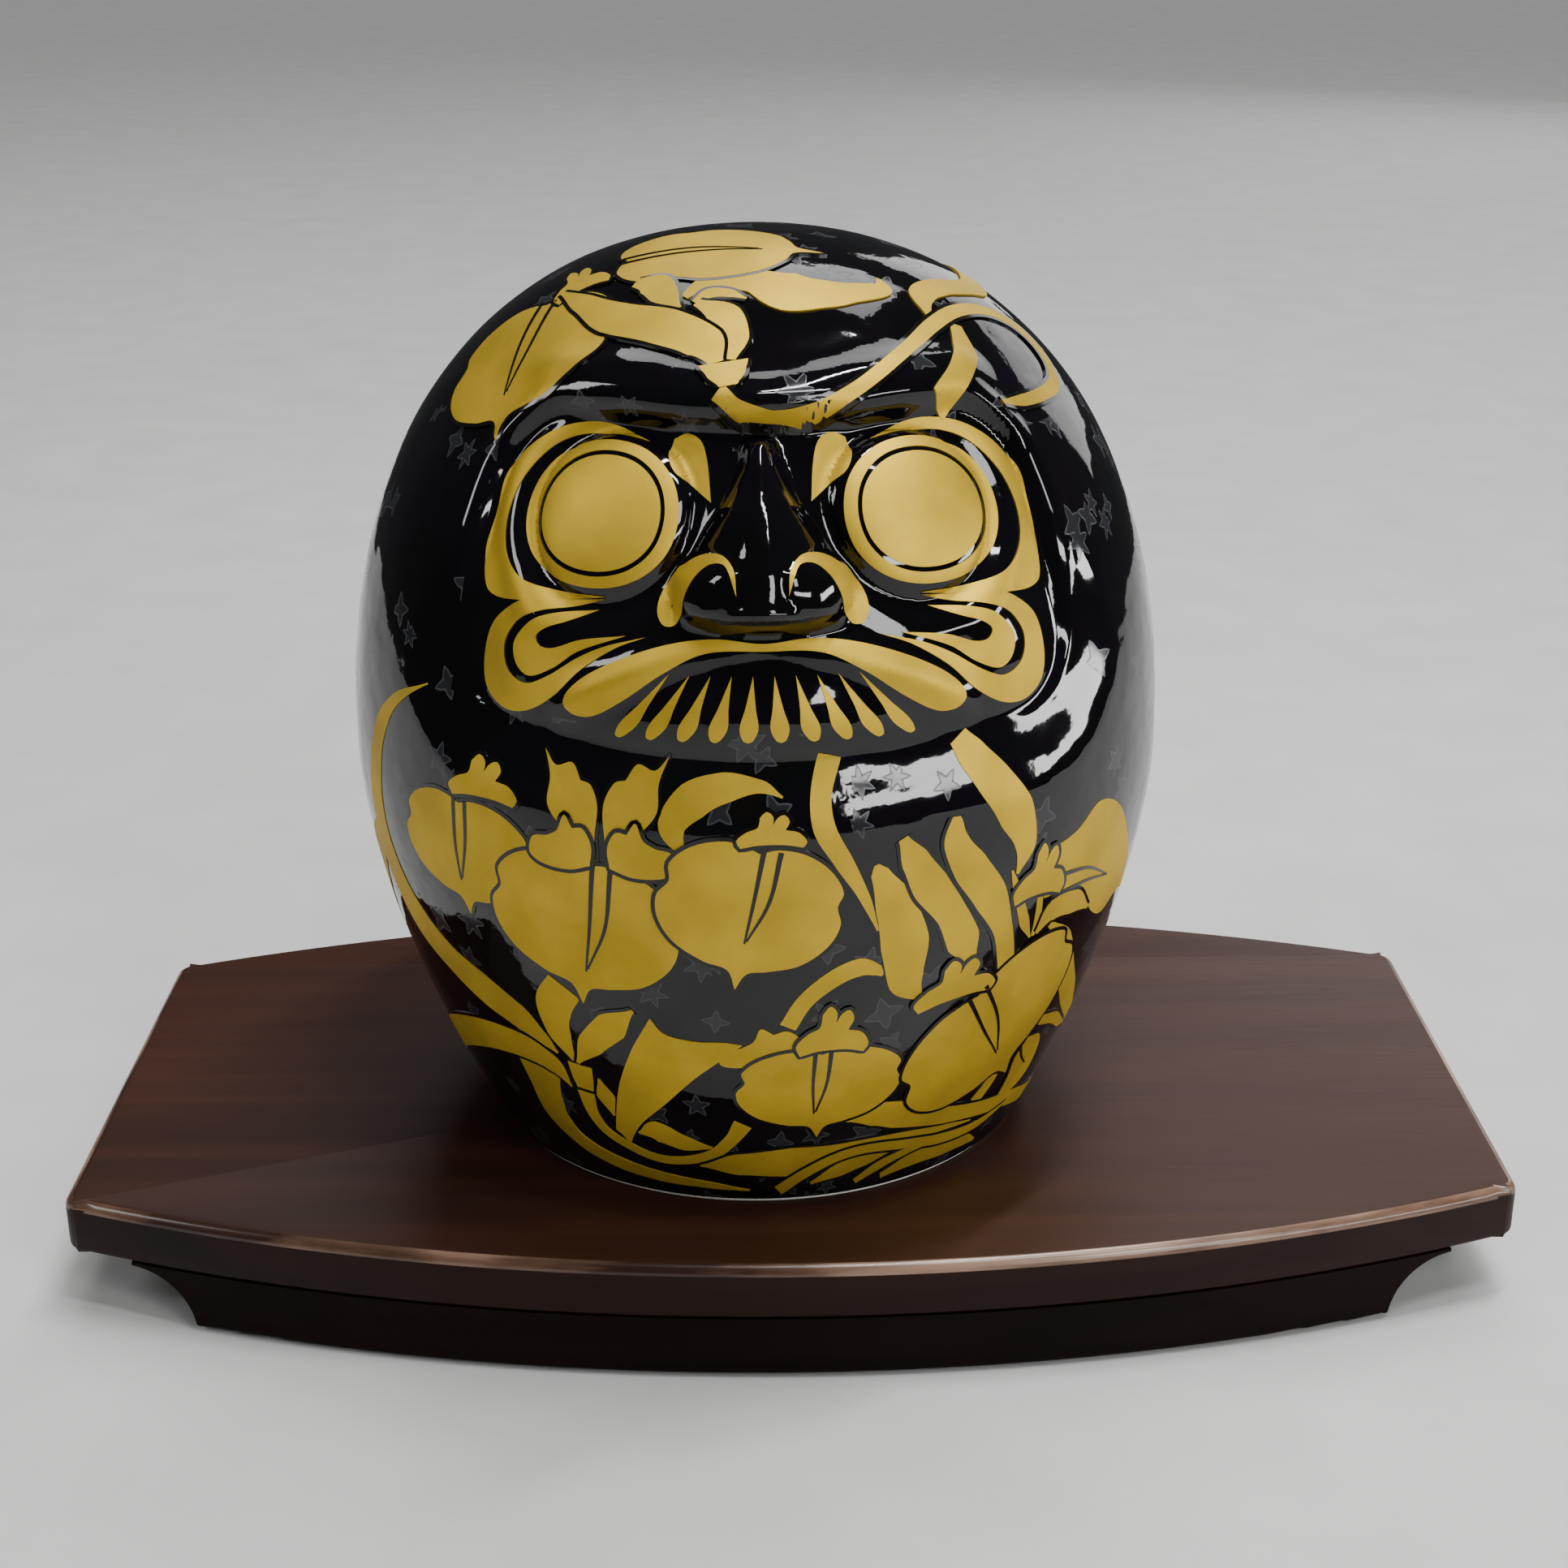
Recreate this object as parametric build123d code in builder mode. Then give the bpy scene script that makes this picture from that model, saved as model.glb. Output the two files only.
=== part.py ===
"""Glazed porcelain daruma doll standing on a bow-fronted wooden display stand.

Millimetres, +Z up, the doll's face towards -Y. The origin is at the middle of the
stand's footprint, on the surface that it stands on.
"""

import os
from math import asin, cos, degrees, radians, sin, sqrt

from build123d import *

os.makedirs("parts", exist_ok=True)

# ---- Driving dimensions: the stand ----
PAD_THICKNESS = 1.0
PAD_RADIUS = 6.0
RAIL_HEIGHT = 13.0
RAIL_WIDTH = 17.0
BOARD_THICKNESS = 12.0
BOARD_LENGTH = 303.0
BOARD_END_WIDTH = 111.0
BOARD_BOW = 28.4
BOARD_TOP_ROUND = 2.2
BOARD_CORNER_ROUND = 1.5
BOARD_LOWER_ROUND = 0.7
COVE_RADIUS = 13.4
COVE_REACH = 137.0
PAD_STATION = 104.0

BATTEN_STATION = 84.0
BATTEN_WIDTH = 24.0
BATTEN_THICKNESS = 9.0
BATTEN_END_GAP = 0.6
EASED_EDGE = 1.0

DOWEL_RADIUS = 3.0
DOWEL_LENGTH = 15.5
DOWEL_IN_RAIL = 8.0
DOWEL_IN_BOARD = 8.0
DOWEL_STATIONS = (-100.0, 0.0, 100.0)
SCREW_SHANK_RADIUS = 1.7
SCREW_HEAD_RADIUS = 3.5
SCREW_LENGTH = 16.5
SCREW_POINT = 3.0
SCREW_SPACING = 62.0
SCREW_RECESS_RADIUS = 1.6
SCREW_RECESS_DEPTH = 1.3
FIT_GAP = 0.06

# ---- Driving dimensions: the doll ----
DOLL_HEIGHT = 189.5
DOLL_RADIUS = 85.4
DOLL_OFFSET_X = -6.6
WAIST_HEIGHT = 84.0
CROWN_POWER = 2.28
FLANK_POWER = 1.65
FOOT_TAPER = 0.302
FOOT_RADIUS = 57.4
FOOT_EASE = 2.0
FOOT_RING_WIDTH = 7.0
FOOT_RECESS = 3.0
WALL = 6.0
VENT_RADIUS = 1.5

FACE_DEPTH = 3.0
FACE_LOW = 106.0
FACE_HIGH = 152.0
FACE_HALF_WIDTH = 54.0
FACE_CORNER = 18.0
SOCKET_RADIUS = 23.0
EYE_SPREAD = 29.5
EYE_HEIGHT = 146.0
EYE_RIM_RADIUS = 13.6
EYE_BULGE = 4.5
NOSE_TOP = 158.0
NOSE_BASE = 134.0
NOSE_TOP_RADIUS = 3.0
NOSE_TIP_RADIUS = 8.0
NOSE_STAND = 1.5
NOSTRIL_RADIUS = 6.5
NOSTRIL_SPREAD = 9.5
MOUSTACHE_HEIGHT = 119.0
MOUSTACHE_RADIUS = 7.0
MOUSTACHE_STAND = 3.5
MOUSTACHE_HALF_ANGLE = 30.0

# ---- Heights and places worked out from them ----
RAIL_FLOOR = PAD_THICKNESS
BOARD_FLOOR = RAIL_FLOOR + RAIL_HEIGHT
BOARD_TOP = BOARD_FLOOR + BOARD_THICKNESS
HALF_LENGTH = BOARD_LENGTH / 2
BOW_RADIUS = (HALF_LENGTH**2 + BOARD_BOW**2) / (2 * BOARD_BOW)
BOW_CENTRE = BOW_RADIUS - BOARD_END_WIDTH / 2 - BOARD_BOW
SIDES = (-1, 1)
ENDS = {"left": -1, "right": 1}
LONG_EDGES = {"front": -1, "rear": 1}


def bow_edge(x, inset=0.0):
    """Distance of the bowed edge from the stand's centre line at x, less an inset."""
    return sqrt((BOW_RADIUS - inset) ** 2 - x**2) - BOW_CENTRE


def half_width(height, inset=0.0):
    """Radius of the doll's round body at a height above its foot, inside an inset."""
    if height >= WAIST_HEIGHT:
        reach = (height - WAIST_HEIGHT) / (DOLL_HEIGHT - inset - WAIST_HEIGHT)
        fullness = max(0.0, 1 - reach**CROWN_POWER) ** (1 / CROWN_POWER)
        return (DOLL_RADIUS - inset) * fullness
    drop = (WAIST_HEIGHT - height) / WAIST_HEIGHT
    return DOLL_RADIUS * (1 - FOOT_TAPER * drop**FLANK_POWER) - inset


def body_line(foot_height, inset):
    """Points of the body's side from a height above the foot up to the crown."""
    flank_share = (0.0, 0.25, 0.5, 0.75)
    flank = [foot_height + share * (WAIST_HEIGHT - foot_height) for share in flank_share]
    crown_share = (0.0, 0.3, 0.55, 0.75, 0.88, 0.96)
    rise = DOLL_HEIGHT - inset - WAIST_HEIGHT
    crown = [WAIST_HEIGHT + share * rise for share in crown_share]
    points = [(half_width(height, inset), height) for height in flank + crown]
    return points + [(0.0, DOLL_HEIGHT - inset)]


# ---- Stand: dowel, screw and pad places ----
def rail_middle(x):
    """Distance of a rail's centre line from the stand's centre line at x."""
    return bow_edge(x, RAIL_WIDTH / 2)


dowel_places = [(x, side * rail_middle(x)) for side in SIDES for x in DOWEL_STATIONS]
screw_places = [
    (x * BATTEN_STATION, y * SCREW_SPACING / 2) for x in SIDES for y in SIDES
]

# ---- Stand: bow-fronted board ----
end_half = BOARD_END_WIDTH / 2
with BuildPart() as stand_top:
    with BuildSketch(Plane.XY.offset(BOARD_FLOOR)):
        with BuildLine():
            ThreePointArc(
                (-HALF_LENGTH, -end_half), (0, -bow_edge(0)), (HALF_LENGTH, -end_half)
            )
            Line((HALF_LENGTH, -end_half), (HALF_LENGTH, end_half))
            ThreePointArc(
                (HALF_LENGTH, end_half), (0, bow_edge(0)), (-HALF_LENGTH, end_half)
            )
            Line((-HALF_LENGTH, end_half), (-HALF_LENGTH, -end_half))
        make_face()
    extrude(amount=BOARD_THICKNESS)
    fillet(stand_top.edges().filter_by(Axis.Z), BOARD_CORNER_ROUND)
    fillet(stand_top.faces().sort_by(Axis.Z)[-1].edges(), BOARD_TOP_ROUND)
    fillet(stand_top.faces().sort_by(Axis.Z)[0].edges(), BOARD_LOWER_ROUND)
    with BuildSketch(Plane.XY.offset(BOARD_FLOOR)):
        with Locations(*dowel_places):
            Circle(DOWEL_RADIUS + FIT_GAP)
    extrude(amount=DOWEL_IN_BOARD, mode=Mode.SUBTRACT)
    with BuildSketch(Plane.XY.offset(BOARD_FLOOR)):
        with Locations(*screw_places):
            Circle(SCREW_SHANK_RADIUS + FIT_GAP)
    extrude(amount=SCREW_LENGTH - BATTEN_THICKNESS + FIT_GAP, mode=Mode.SUBTRACT)
stand_top.part.label = "stand_top"
export_step(stand_top.part, "parts/stand_top.step")

# ---- Stand: front and rear rails, bowed like the board and coved at their ends ----
cove_side = COVE_RADIUS * cos(asin(RAIL_FLOOR / COVE_RADIUS))
rail_foot = COVE_REACH - cove_side
cove_middle = COVE_RADIUS / sqrt(2)
for name, side in LONG_EDGES.items():
    with BuildPart() as rail:
        with BuildSketch(Plane.XY.offset(RAIL_FLOOR)):
            with Locations((0, -side * BOW_CENTRE)):
                Circle(BOW_RADIUS)
                Circle(BOW_RADIUS - RAIL_WIDTH, mode=Mode.SUBTRACT)
            with Locations((0, side * BOW_RADIUS)):
                Rectangle(2 * COVE_REACH, 2 * BOW_RADIUS, mode=Mode.INTERSECT)
        extrude(amount=RAIL_HEIGHT)
        with BuildSketch(Plane.XZ):
            with BuildLine():
                Polyline(
                    (-COVE_REACH, COVE_RADIUS),
                    (-COVE_REACH, BOARD_FLOOR),
                    (COVE_REACH, BOARD_FLOOR),
                    (COVE_REACH, COVE_RADIUS),
                )
                ThreePointArc(
                    (COVE_REACH, COVE_RADIUS),
                    (COVE_REACH - cove_middle, cove_middle),
                    (rail_foot, RAIL_FLOOR),
                )
                Line((rail_foot, RAIL_FLOOR), (-rail_foot, RAIL_FLOOR))
                ThreePointArc(
                    (-rail_foot, RAIL_FLOOR),
                    (cove_middle - COVE_REACH, cove_middle),
                    (-COVE_REACH, COVE_RADIUS),
                )
            make_face()
        extrude(amount=BOARD_LENGTH, both=True, mode=Mode.INTERSECT)
        fillet(rail.faces().sort_by(Axis.Z)[0].edges(), EASED_EDGE)
        with BuildSketch(Plane.XY.offset(BOARD_FLOOR)):
            with Locations(*[(x, side * rail_middle(x)) for x in DOWEL_STATIONS]):
                Circle(DOWEL_RADIUS + FIT_GAP)
        extrude(amount=-DOWEL_IN_RAIL, mode=Mode.SUBTRACT)
    rail.part.label = f"stand_rail_{name}"
    export_step(rail.part, f"parts/stand_rail_{name}.step")

# ---- Stand: cross battens under the board, between the rails ----
batten_outer_edge = BATTEN_STATION + BATTEN_WIDTH / 2
batten_length = 2 * (bow_edge(batten_outer_edge, RAIL_WIDTH) - BATTEN_END_GAP)
batten_floor = BOARD_FLOOR - BATTEN_THICKNESS
for name, side in ENDS.items():
    with BuildPart() as batten:
        with BuildSketch(Plane.XY.offset(batten_floor)):
            with Locations((side * BATTEN_STATION, 0)):
                Rectangle(BATTEN_WIDTH, batten_length)
        extrude(amount=BATTEN_THICKNESS)
        chamfer(batten.faces().sort_by(Axis.Z)[0].edges(), EASED_EDGE)
        for y in SIDES:
            spot = (side * BATTEN_STATION, y * SCREW_SPACING / 2, batten_floor)
            with Locations(Plane(origin=spot, z_dir=(0, 0, -1))):
                CounterSinkHole(
                    radius=SCREW_SHANK_RADIUS + FIT_GAP,
                    counter_sink_radius=SCREW_HEAD_RADIUS + FIT_GAP,
                    depth=BATTEN_THICKNESS,
                    counter_sink_angle=90,
                )
    batten.part.label = f"stand_batten_{name}"
    export_step(batten.part, f"parts/stand_batten_{name}.step")

# ---- Stand: dowels that glue the rails to the board ----
with BuildPart() as stand_dowels:
    with BuildSketch(Plane.XY.offset(BOARD_FLOOR - DOWEL_IN_RAIL)):
        with Locations(*dowel_places):
            Circle(DOWEL_RADIUS)
    extrude(amount=DOWEL_LENGTH)
    chamfer(stand_dowels.faces().filter_by(Plane.XY).edges(), DOWEL_RADIUS / 6)
stand_dowels.part.label = "stand_dowels"
export_step(stand_dowels.part, "parts/stand_dowels.step")

# ---- Stand: countersunk screws that hold the battens to the board ----
with BuildPart() as screw_form:
    with BuildSketch(Plane.XZ):
        with BuildLine():
            Polyline(
                (0, batten_floor),
                (SCREW_HEAD_RADIUS, batten_floor),
                (SCREW_SHANK_RADIUS, batten_floor + SCREW_HEAD_RADIUS - SCREW_SHANK_RADIUS),
                (SCREW_SHANK_RADIUS, batten_floor + SCREW_LENGTH - SCREW_POINT),
                (0, batten_floor + SCREW_LENGTH),
                close=True,
            )
        make_face()
    revolve(axis=Axis.Z)
    with BuildSketch(Plane.XY.offset(batten_floor)):
        RegularPolygon(SCREW_RECESS_RADIUS, 6)
    extrude(amount=SCREW_RECESS_DEPTH, mode=Mode.SUBTRACT)
with BuildPart() as stand_screws:
    with Locations(*screw_places):
        add(screw_form.part)
stand_screws.part.label = "stand_screws"
export_step(stand_screws.part, "parts/stand_screws.step")

# ---- Stand: felt pads under the rails ----
for edge, front in LONG_EDGES.items():
    for end, side in ENDS.items():
        with BuildPart() as pad:
            with BuildSketch(Plane.XY):
                with Locations((side * PAD_STATION, front * rail_middle(PAD_STATION))):
                    Circle(PAD_RADIUS)
            extrude(amount=PAD_THICKNESS)
        pad.part.label = f"felt_pad_{edge}_{end}"
        export_step(pad.part, f"parts/felt_pad_{edge}_{end}.step")


# ---- Doll: slip-cast porcelain body ----
def body_outline(foot_height, inset):
    """Closed outline of half of the body's section, from foot_height to the crown."""
    points = body_line(foot_height, inset)
    with BuildLine() as outline:
        Spline(*points, tangents=((FOOT_TAPER, 1), (-1, 0)))
        Polyline(points[-1], (0, foot_height), points[0])
    return outline.line


def on_face(angle, height, lift):
    """Place on the panel's floor: an angle from the front, a height and a lift off it."""
    radius = half_width(height) - FACE_DEPTH + lift
    return (radius * sin(radians(angle)), -radius * cos(radians(angle)), height)


def on_doll(place):
    """Moves a place given from the foot's centre to the stand's frame."""
    return (place[0] + DOLL_OFFSET_X, place[1], place[2] + BOARD_TOP)


doll_foot = on_doll((0, 0, 0))
doll_axis = Axis(doll_foot, (0, 0, 1))
front_plane = Plane(doll_foot, x_dir=(1, 0, 0), z_dir=(0, -1, 0))

# The face is a shallow panel let into the front, its top lobed over the two eyes.
with BuildPart() as face_panel:
    with BuildSketch(front_plane):
        with Locations((0, (FACE_LOW + FACE_HIGH) / 2)):
            RectangleRounded(2 * FACE_HALF_WIDTH, FACE_HIGH - FACE_LOW, FACE_CORNER)
        with Locations((-EYE_SPREAD, EYE_HEIGHT), (EYE_SPREAD, EYE_HEIGHT)):
            Circle(SOCKET_RADIUS)
    extrude(amount=2 * DOLL_RADIUS)
    with BuildSketch(front_plane):
        add(body_outline(FOOT_EASE, FACE_DEPTH))
        make_face()
    revolve(axis=doll_axis, mode=Mode.SUBTRACT)

eye_radius = (EYE_RIM_RADIUS**2 + EYE_BULGE**2) / (2 * EYE_BULGE)
eye_angle = degrees(asin(EYE_SPREAD / (half_width(EYE_HEIGHT) - FACE_DEPTH)))
nose_tip = on_doll(on_face(0, NOSE_BASE, NOSE_STAND))
nose_top = on_doll(on_face(0, NOSE_TOP, 0))
nostril_angle = degrees(NOSTRIL_SPREAD / half_width(NOSE_BASE))
moustache_lift = MOUSTACHE_STAND - MOUSTACHE_RADIUS

with BuildPart() as doll_body:
    with BuildSketch(front_plane):
        add(body_outline(FOOT_EASE, 0.0))
        make_face()
        with BuildLine():
            Polyline(
                (0, 0),
                (FOOT_RADIUS, 0),
                (half_width(FOOT_EASE), FOOT_EASE),
                (0, FOOT_EASE),
                close=True,
            )
        make_face()
    revolve(axis=doll_axis)
    add(face_panel.part, mode=Mode.SUBTRACT)

    # Two eyes swell out of the panel.
    for angle in (-eye_angle, eye_angle):
        with Locations(on_doll(on_face(angle, EYE_HEIGHT, EYE_BULGE - eye_radius))):
            Sphere(eye_radius)

    # The nose is a bridge that widens down to a round tip between two nostril wings.
    with BuildSketch(Plane(nose_tip, z_dir=Vector(*nose_top) - Vector(*nose_tip))):
        Circle(NOSE_TIP_RADIUS)
    with BuildSketch(Plane(nose_top, z_dir=Vector(*nose_top) - Vector(*nose_tip))):
        Circle(NOSE_TOP_RADIUS)
    loft()
    with Locations(nose_tip):
        Sphere(NOSE_TIP_RADIUS)
    for angle in (-nostril_angle, nostril_angle):
        with Locations(on_doll(on_face(angle, NOSE_BASE, 0))):
            Sphere(NOSTRIL_RADIUS)

    # The moustache is a round ridge across the panel with round ends.
    ridge_start = on_face(-MOUSTACHE_HALF_ANGLE, MOUSTACHE_HEIGHT, moustache_lift)
    ridge_end = on_face(MOUSTACHE_HALF_ANGLE, MOUSTACHE_HEIGHT, moustache_lift)
    ridge_way = (cos(radians(MOUSTACHE_HALF_ANGLE)), sin(radians(MOUSTACHE_HALF_ANGLE)), 0)
    with BuildSketch(Plane(on_doll(ridge_start), z_dir=ridge_way)):
        Circle(MOUSTACHE_RADIUS)
    revolve(axis=doll_axis, revolution_arc=2 * MOUSTACHE_HALF_ANGLE)
    with Locations(on_doll(ridge_start), on_doll(ridge_end)):
        Sphere(MOUSTACHE_RADIUS)

    # The body is hollow, with a shallow recess inside the foot ring and a vent in it.
    with BuildSketch(front_plane):
        add(body_outline(FOOT_RECESS + WALL, WALL))
        make_face()
    revolve(axis=doll_axis, mode=Mode.SUBTRACT)
    with BuildSketch(Plane(doll_foot)):
        Circle(FOOT_RADIUS - FOOT_RING_WIDTH)
    extrude(amount=FOOT_RECESS, mode=Mode.SUBTRACT)
    with BuildSketch(Plane(doll_foot)):
        Circle(VENT_RADIUS)
    extrude(amount=FOOT_RECESS + 2 * WALL, mode=Mode.SUBTRACT)
doll_body.part.label = "doll_body"
export_step(doll_body.part, "parts/doll_body.step")
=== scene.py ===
"""Looks of a glazed porcelain daruma doll that stands on a bow-fronted wooden stand."""

from __future__ import annotations

import logging
import math
from bisect import bisect_right
from collections.abc import Callable, Iterable, Sequence
from dataclasses import dataclass, field
from enum import Enum

import bmesh
import bpy
from mathutils import Matrix, Vector, noise

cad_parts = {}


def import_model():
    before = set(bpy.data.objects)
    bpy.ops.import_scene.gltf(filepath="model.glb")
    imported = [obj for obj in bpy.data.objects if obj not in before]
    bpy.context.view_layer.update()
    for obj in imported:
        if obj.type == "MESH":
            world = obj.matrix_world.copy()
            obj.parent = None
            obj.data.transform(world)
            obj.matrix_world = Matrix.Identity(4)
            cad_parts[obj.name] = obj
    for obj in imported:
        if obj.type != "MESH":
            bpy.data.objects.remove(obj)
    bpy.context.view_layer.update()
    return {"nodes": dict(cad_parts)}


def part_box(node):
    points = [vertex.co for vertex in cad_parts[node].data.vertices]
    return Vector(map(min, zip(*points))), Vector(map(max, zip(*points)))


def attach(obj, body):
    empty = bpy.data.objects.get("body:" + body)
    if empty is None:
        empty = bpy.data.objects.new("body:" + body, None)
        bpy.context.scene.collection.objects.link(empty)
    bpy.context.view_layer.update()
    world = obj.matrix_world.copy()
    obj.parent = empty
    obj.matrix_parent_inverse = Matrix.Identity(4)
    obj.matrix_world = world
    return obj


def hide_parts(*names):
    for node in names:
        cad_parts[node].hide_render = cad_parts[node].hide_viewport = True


LOG = logging.getLogger("daruma")
MM = 0.001
Point = tuple[float, float]
Run = Sequence[Point]
Colour = tuple[float, float, float]
Knot = tuple[float, float, float]
Input = float | Colour | bpy.types.NodeSocket


class Chart(Enum):
    """How a flat drawing, in millimetres, is laid on the doll."""

    GIRTH = "across the girth from the front, and up the side from the foot"
    CROWN = "right and back from the top of the head"


class Slot(Enum):
    """The record's material slots."""

    GLAZE = "black_glaze"
    STAINED = "stained_wood"
    PLAIN = "plain_wood"
    STEEL = "screw_steel"
    FELT = "felt"


# ---- Small helpers ----
def ease(x: float) -> float:
    """Smooth step from 0 at 0 to 1 at 1."""
    x = min(1.0, max(0.0, x))
    return x * x * (3 - 2 * x)


def hump(x: float, half: float) -> float:
    """Bell of height 1 at 0 that falls to a third at half."""
    return math.exp(-((x / half) ** 2))


def mirrored(points: Iterable[Point]) -> list[Point]:
    """The same points on the other side of the middle line."""
    return [(-x, y) for x, y in points]


def smooth_run(points: Run, step: float, closed: bool = False) -> list[Point]:
    """Points along a smooth curve through the given ones.

    Args:
        points: the points that the curve passes through.
        step: the spacing to sample it at.
        closed: whether it comes back to its first point without a corner.

    Returns:
        The sampled points, without the last one.
    """
    count = len(points)
    spans = count if closed else count - 1
    sampled: list[Point] = []
    for i in range(spans):
        p1 = Vector(points[i])
        p2 = Vector(points[(i + 1) % count])
        p0 = Vector(points[i - 1]) if closed or i else 2 * p1 - p2
        p3 = Vector(points[(i + 2) % count]) if closed or i + 2 < count else 2 * p2 - p1
        length = max((p2 - p1).length, 1e-6)
        before = (p1 - p0).length or length
        after = (p3 - p2).length or length
        start = (p2 - p0) / (before + length) * length
        end = (p3 - p1) / (length + after) * length
        pieces = max(1, round(length / step))
        for k in range(pieces):
            t = k / pieces
            curve = (2 * t**3 - 3 * t**2 + 1) * p1 + (t**3 - 2 * t**2 + t) * start
            curve += (3 * t**2 - 2 * t**3) * p2 + (t**3 - t**2) * end
            sampled.append((curve.x, curve.y))
    return sampled


# ---- Finishes ----
@dataclass
class Nodes:
    """A short way to write a material's node tree."""

    tree: bpy.types.NodeTree

    def add(self, kind: str, inputs: dict | None = None, **settings) -> bpy.types.Node:
        """Adds a node.

        Args:
            kind: the node's type without its ShaderNode prefix.
            inputs: values, or sockets to link, by the input's name or number.
            settings: the node's own properties.

        Returns:
            The node.
        """
        node = self.tree.nodes.new("ShaderNode" + kind)
        for name, value in settings.items():
            setattr(node, name, value)
        for key, value in (inputs or {}).items():
            if isinstance(value, bpy.types.NodeSocket):
                self.tree.links.new(value, node.inputs[key])
            else:
                node.inputs[key].default_value = value
        return node

    def math(self, operation: str, *values: Input) -> bpy.types.NodeSocket:
        """The result of a Math node on numbers or sockets."""
        inputs = dict(enumerate(values))
        return self.add("Math", inputs, operation=operation).outputs[0]

    def ramp(self, source: Input, stops: Sequence[tuple[float, Colour]]) -> bpy.types.NodeSocket:
        """The colour of a colour ramp with the given stops."""
        node = self.add("ValToRGB", {0: source})
        band = node.color_ramp
        while len(band.elements) < len(stops):
            band.elements.new(0.5)
        for element, (place, colour) in zip(band.elements, stops):
            element.position = place
            element.color = (*colour, 1.0)
        return node.outputs[0]

    def blend(self, share: Input, first: Input, second: Input) -> bpy.types.NodeSocket:
        """The mix of two colours."""
        node = self.add("Mix", data_type="RGBA")
        pairs = ((0, share), (6, first), (7, second))
        for index, value in pairs:
            if isinstance(value, bpy.types.NodeSocket):
                self.tree.links.new(value, node.inputs[index])
            elif index:
                node.inputs[index].default_value = (*value, 1.0)
            else:
                node.inputs[index].default_value = value
        return node.outputs[2]

    def noise(
        self, place: Input, scale: float, detail: float = 3.0, **inputs: Input
    ) -> bpy.types.NodeSocket:
        """The value of a noise pattern at a place."""
        settings = {"Vector": place, "Scale": scale, "Detail": detail, **inputs}
        return self.add("TexNoise", settings).outputs["Fac"]


@dataclass(frozen=True)
class Finish:
    """A surface finish, made once as a material and then shared."""

    name: str

    def material(self) -> bpy.types.Material:
        """The finish's material, made on its first use."""
        found = bpy.data.materials.get(self.name)
        if found:
            return found
        made = bpy.data.materials.new(self.name)
        made.use_nodes = True
        made.node_tree.nodes.clear()
        nodes = Nodes(made.node_tree)
        shader = nodes.add("BsdfPrincipled")
        output = nodes.add("OutputMaterial")
        made.node_tree.links.new(shader.outputs[0], output.inputs[0])
        self.dress(nodes, shader)
        return made

    def dress(self, nodes: Nodes, shader: bpy.types.Node) -> None:
        """Sets the shader's inputs."""
        raise NotImplementedError

    @staticmethod
    def join(nodes: Nodes, shader: bpy.types.Node, **inputs) -> None:
        """Links sockets or sets values on the shader, its input names with _ for a space."""
        for key, value in inputs.items():
            socket = shader.inputs[key.replace("_", " ")]
            if isinstance(value, bpy.types.NodeSocket):
                nodes.tree.links.new(value, socket)
            else:
                socket.default_value = value


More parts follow.
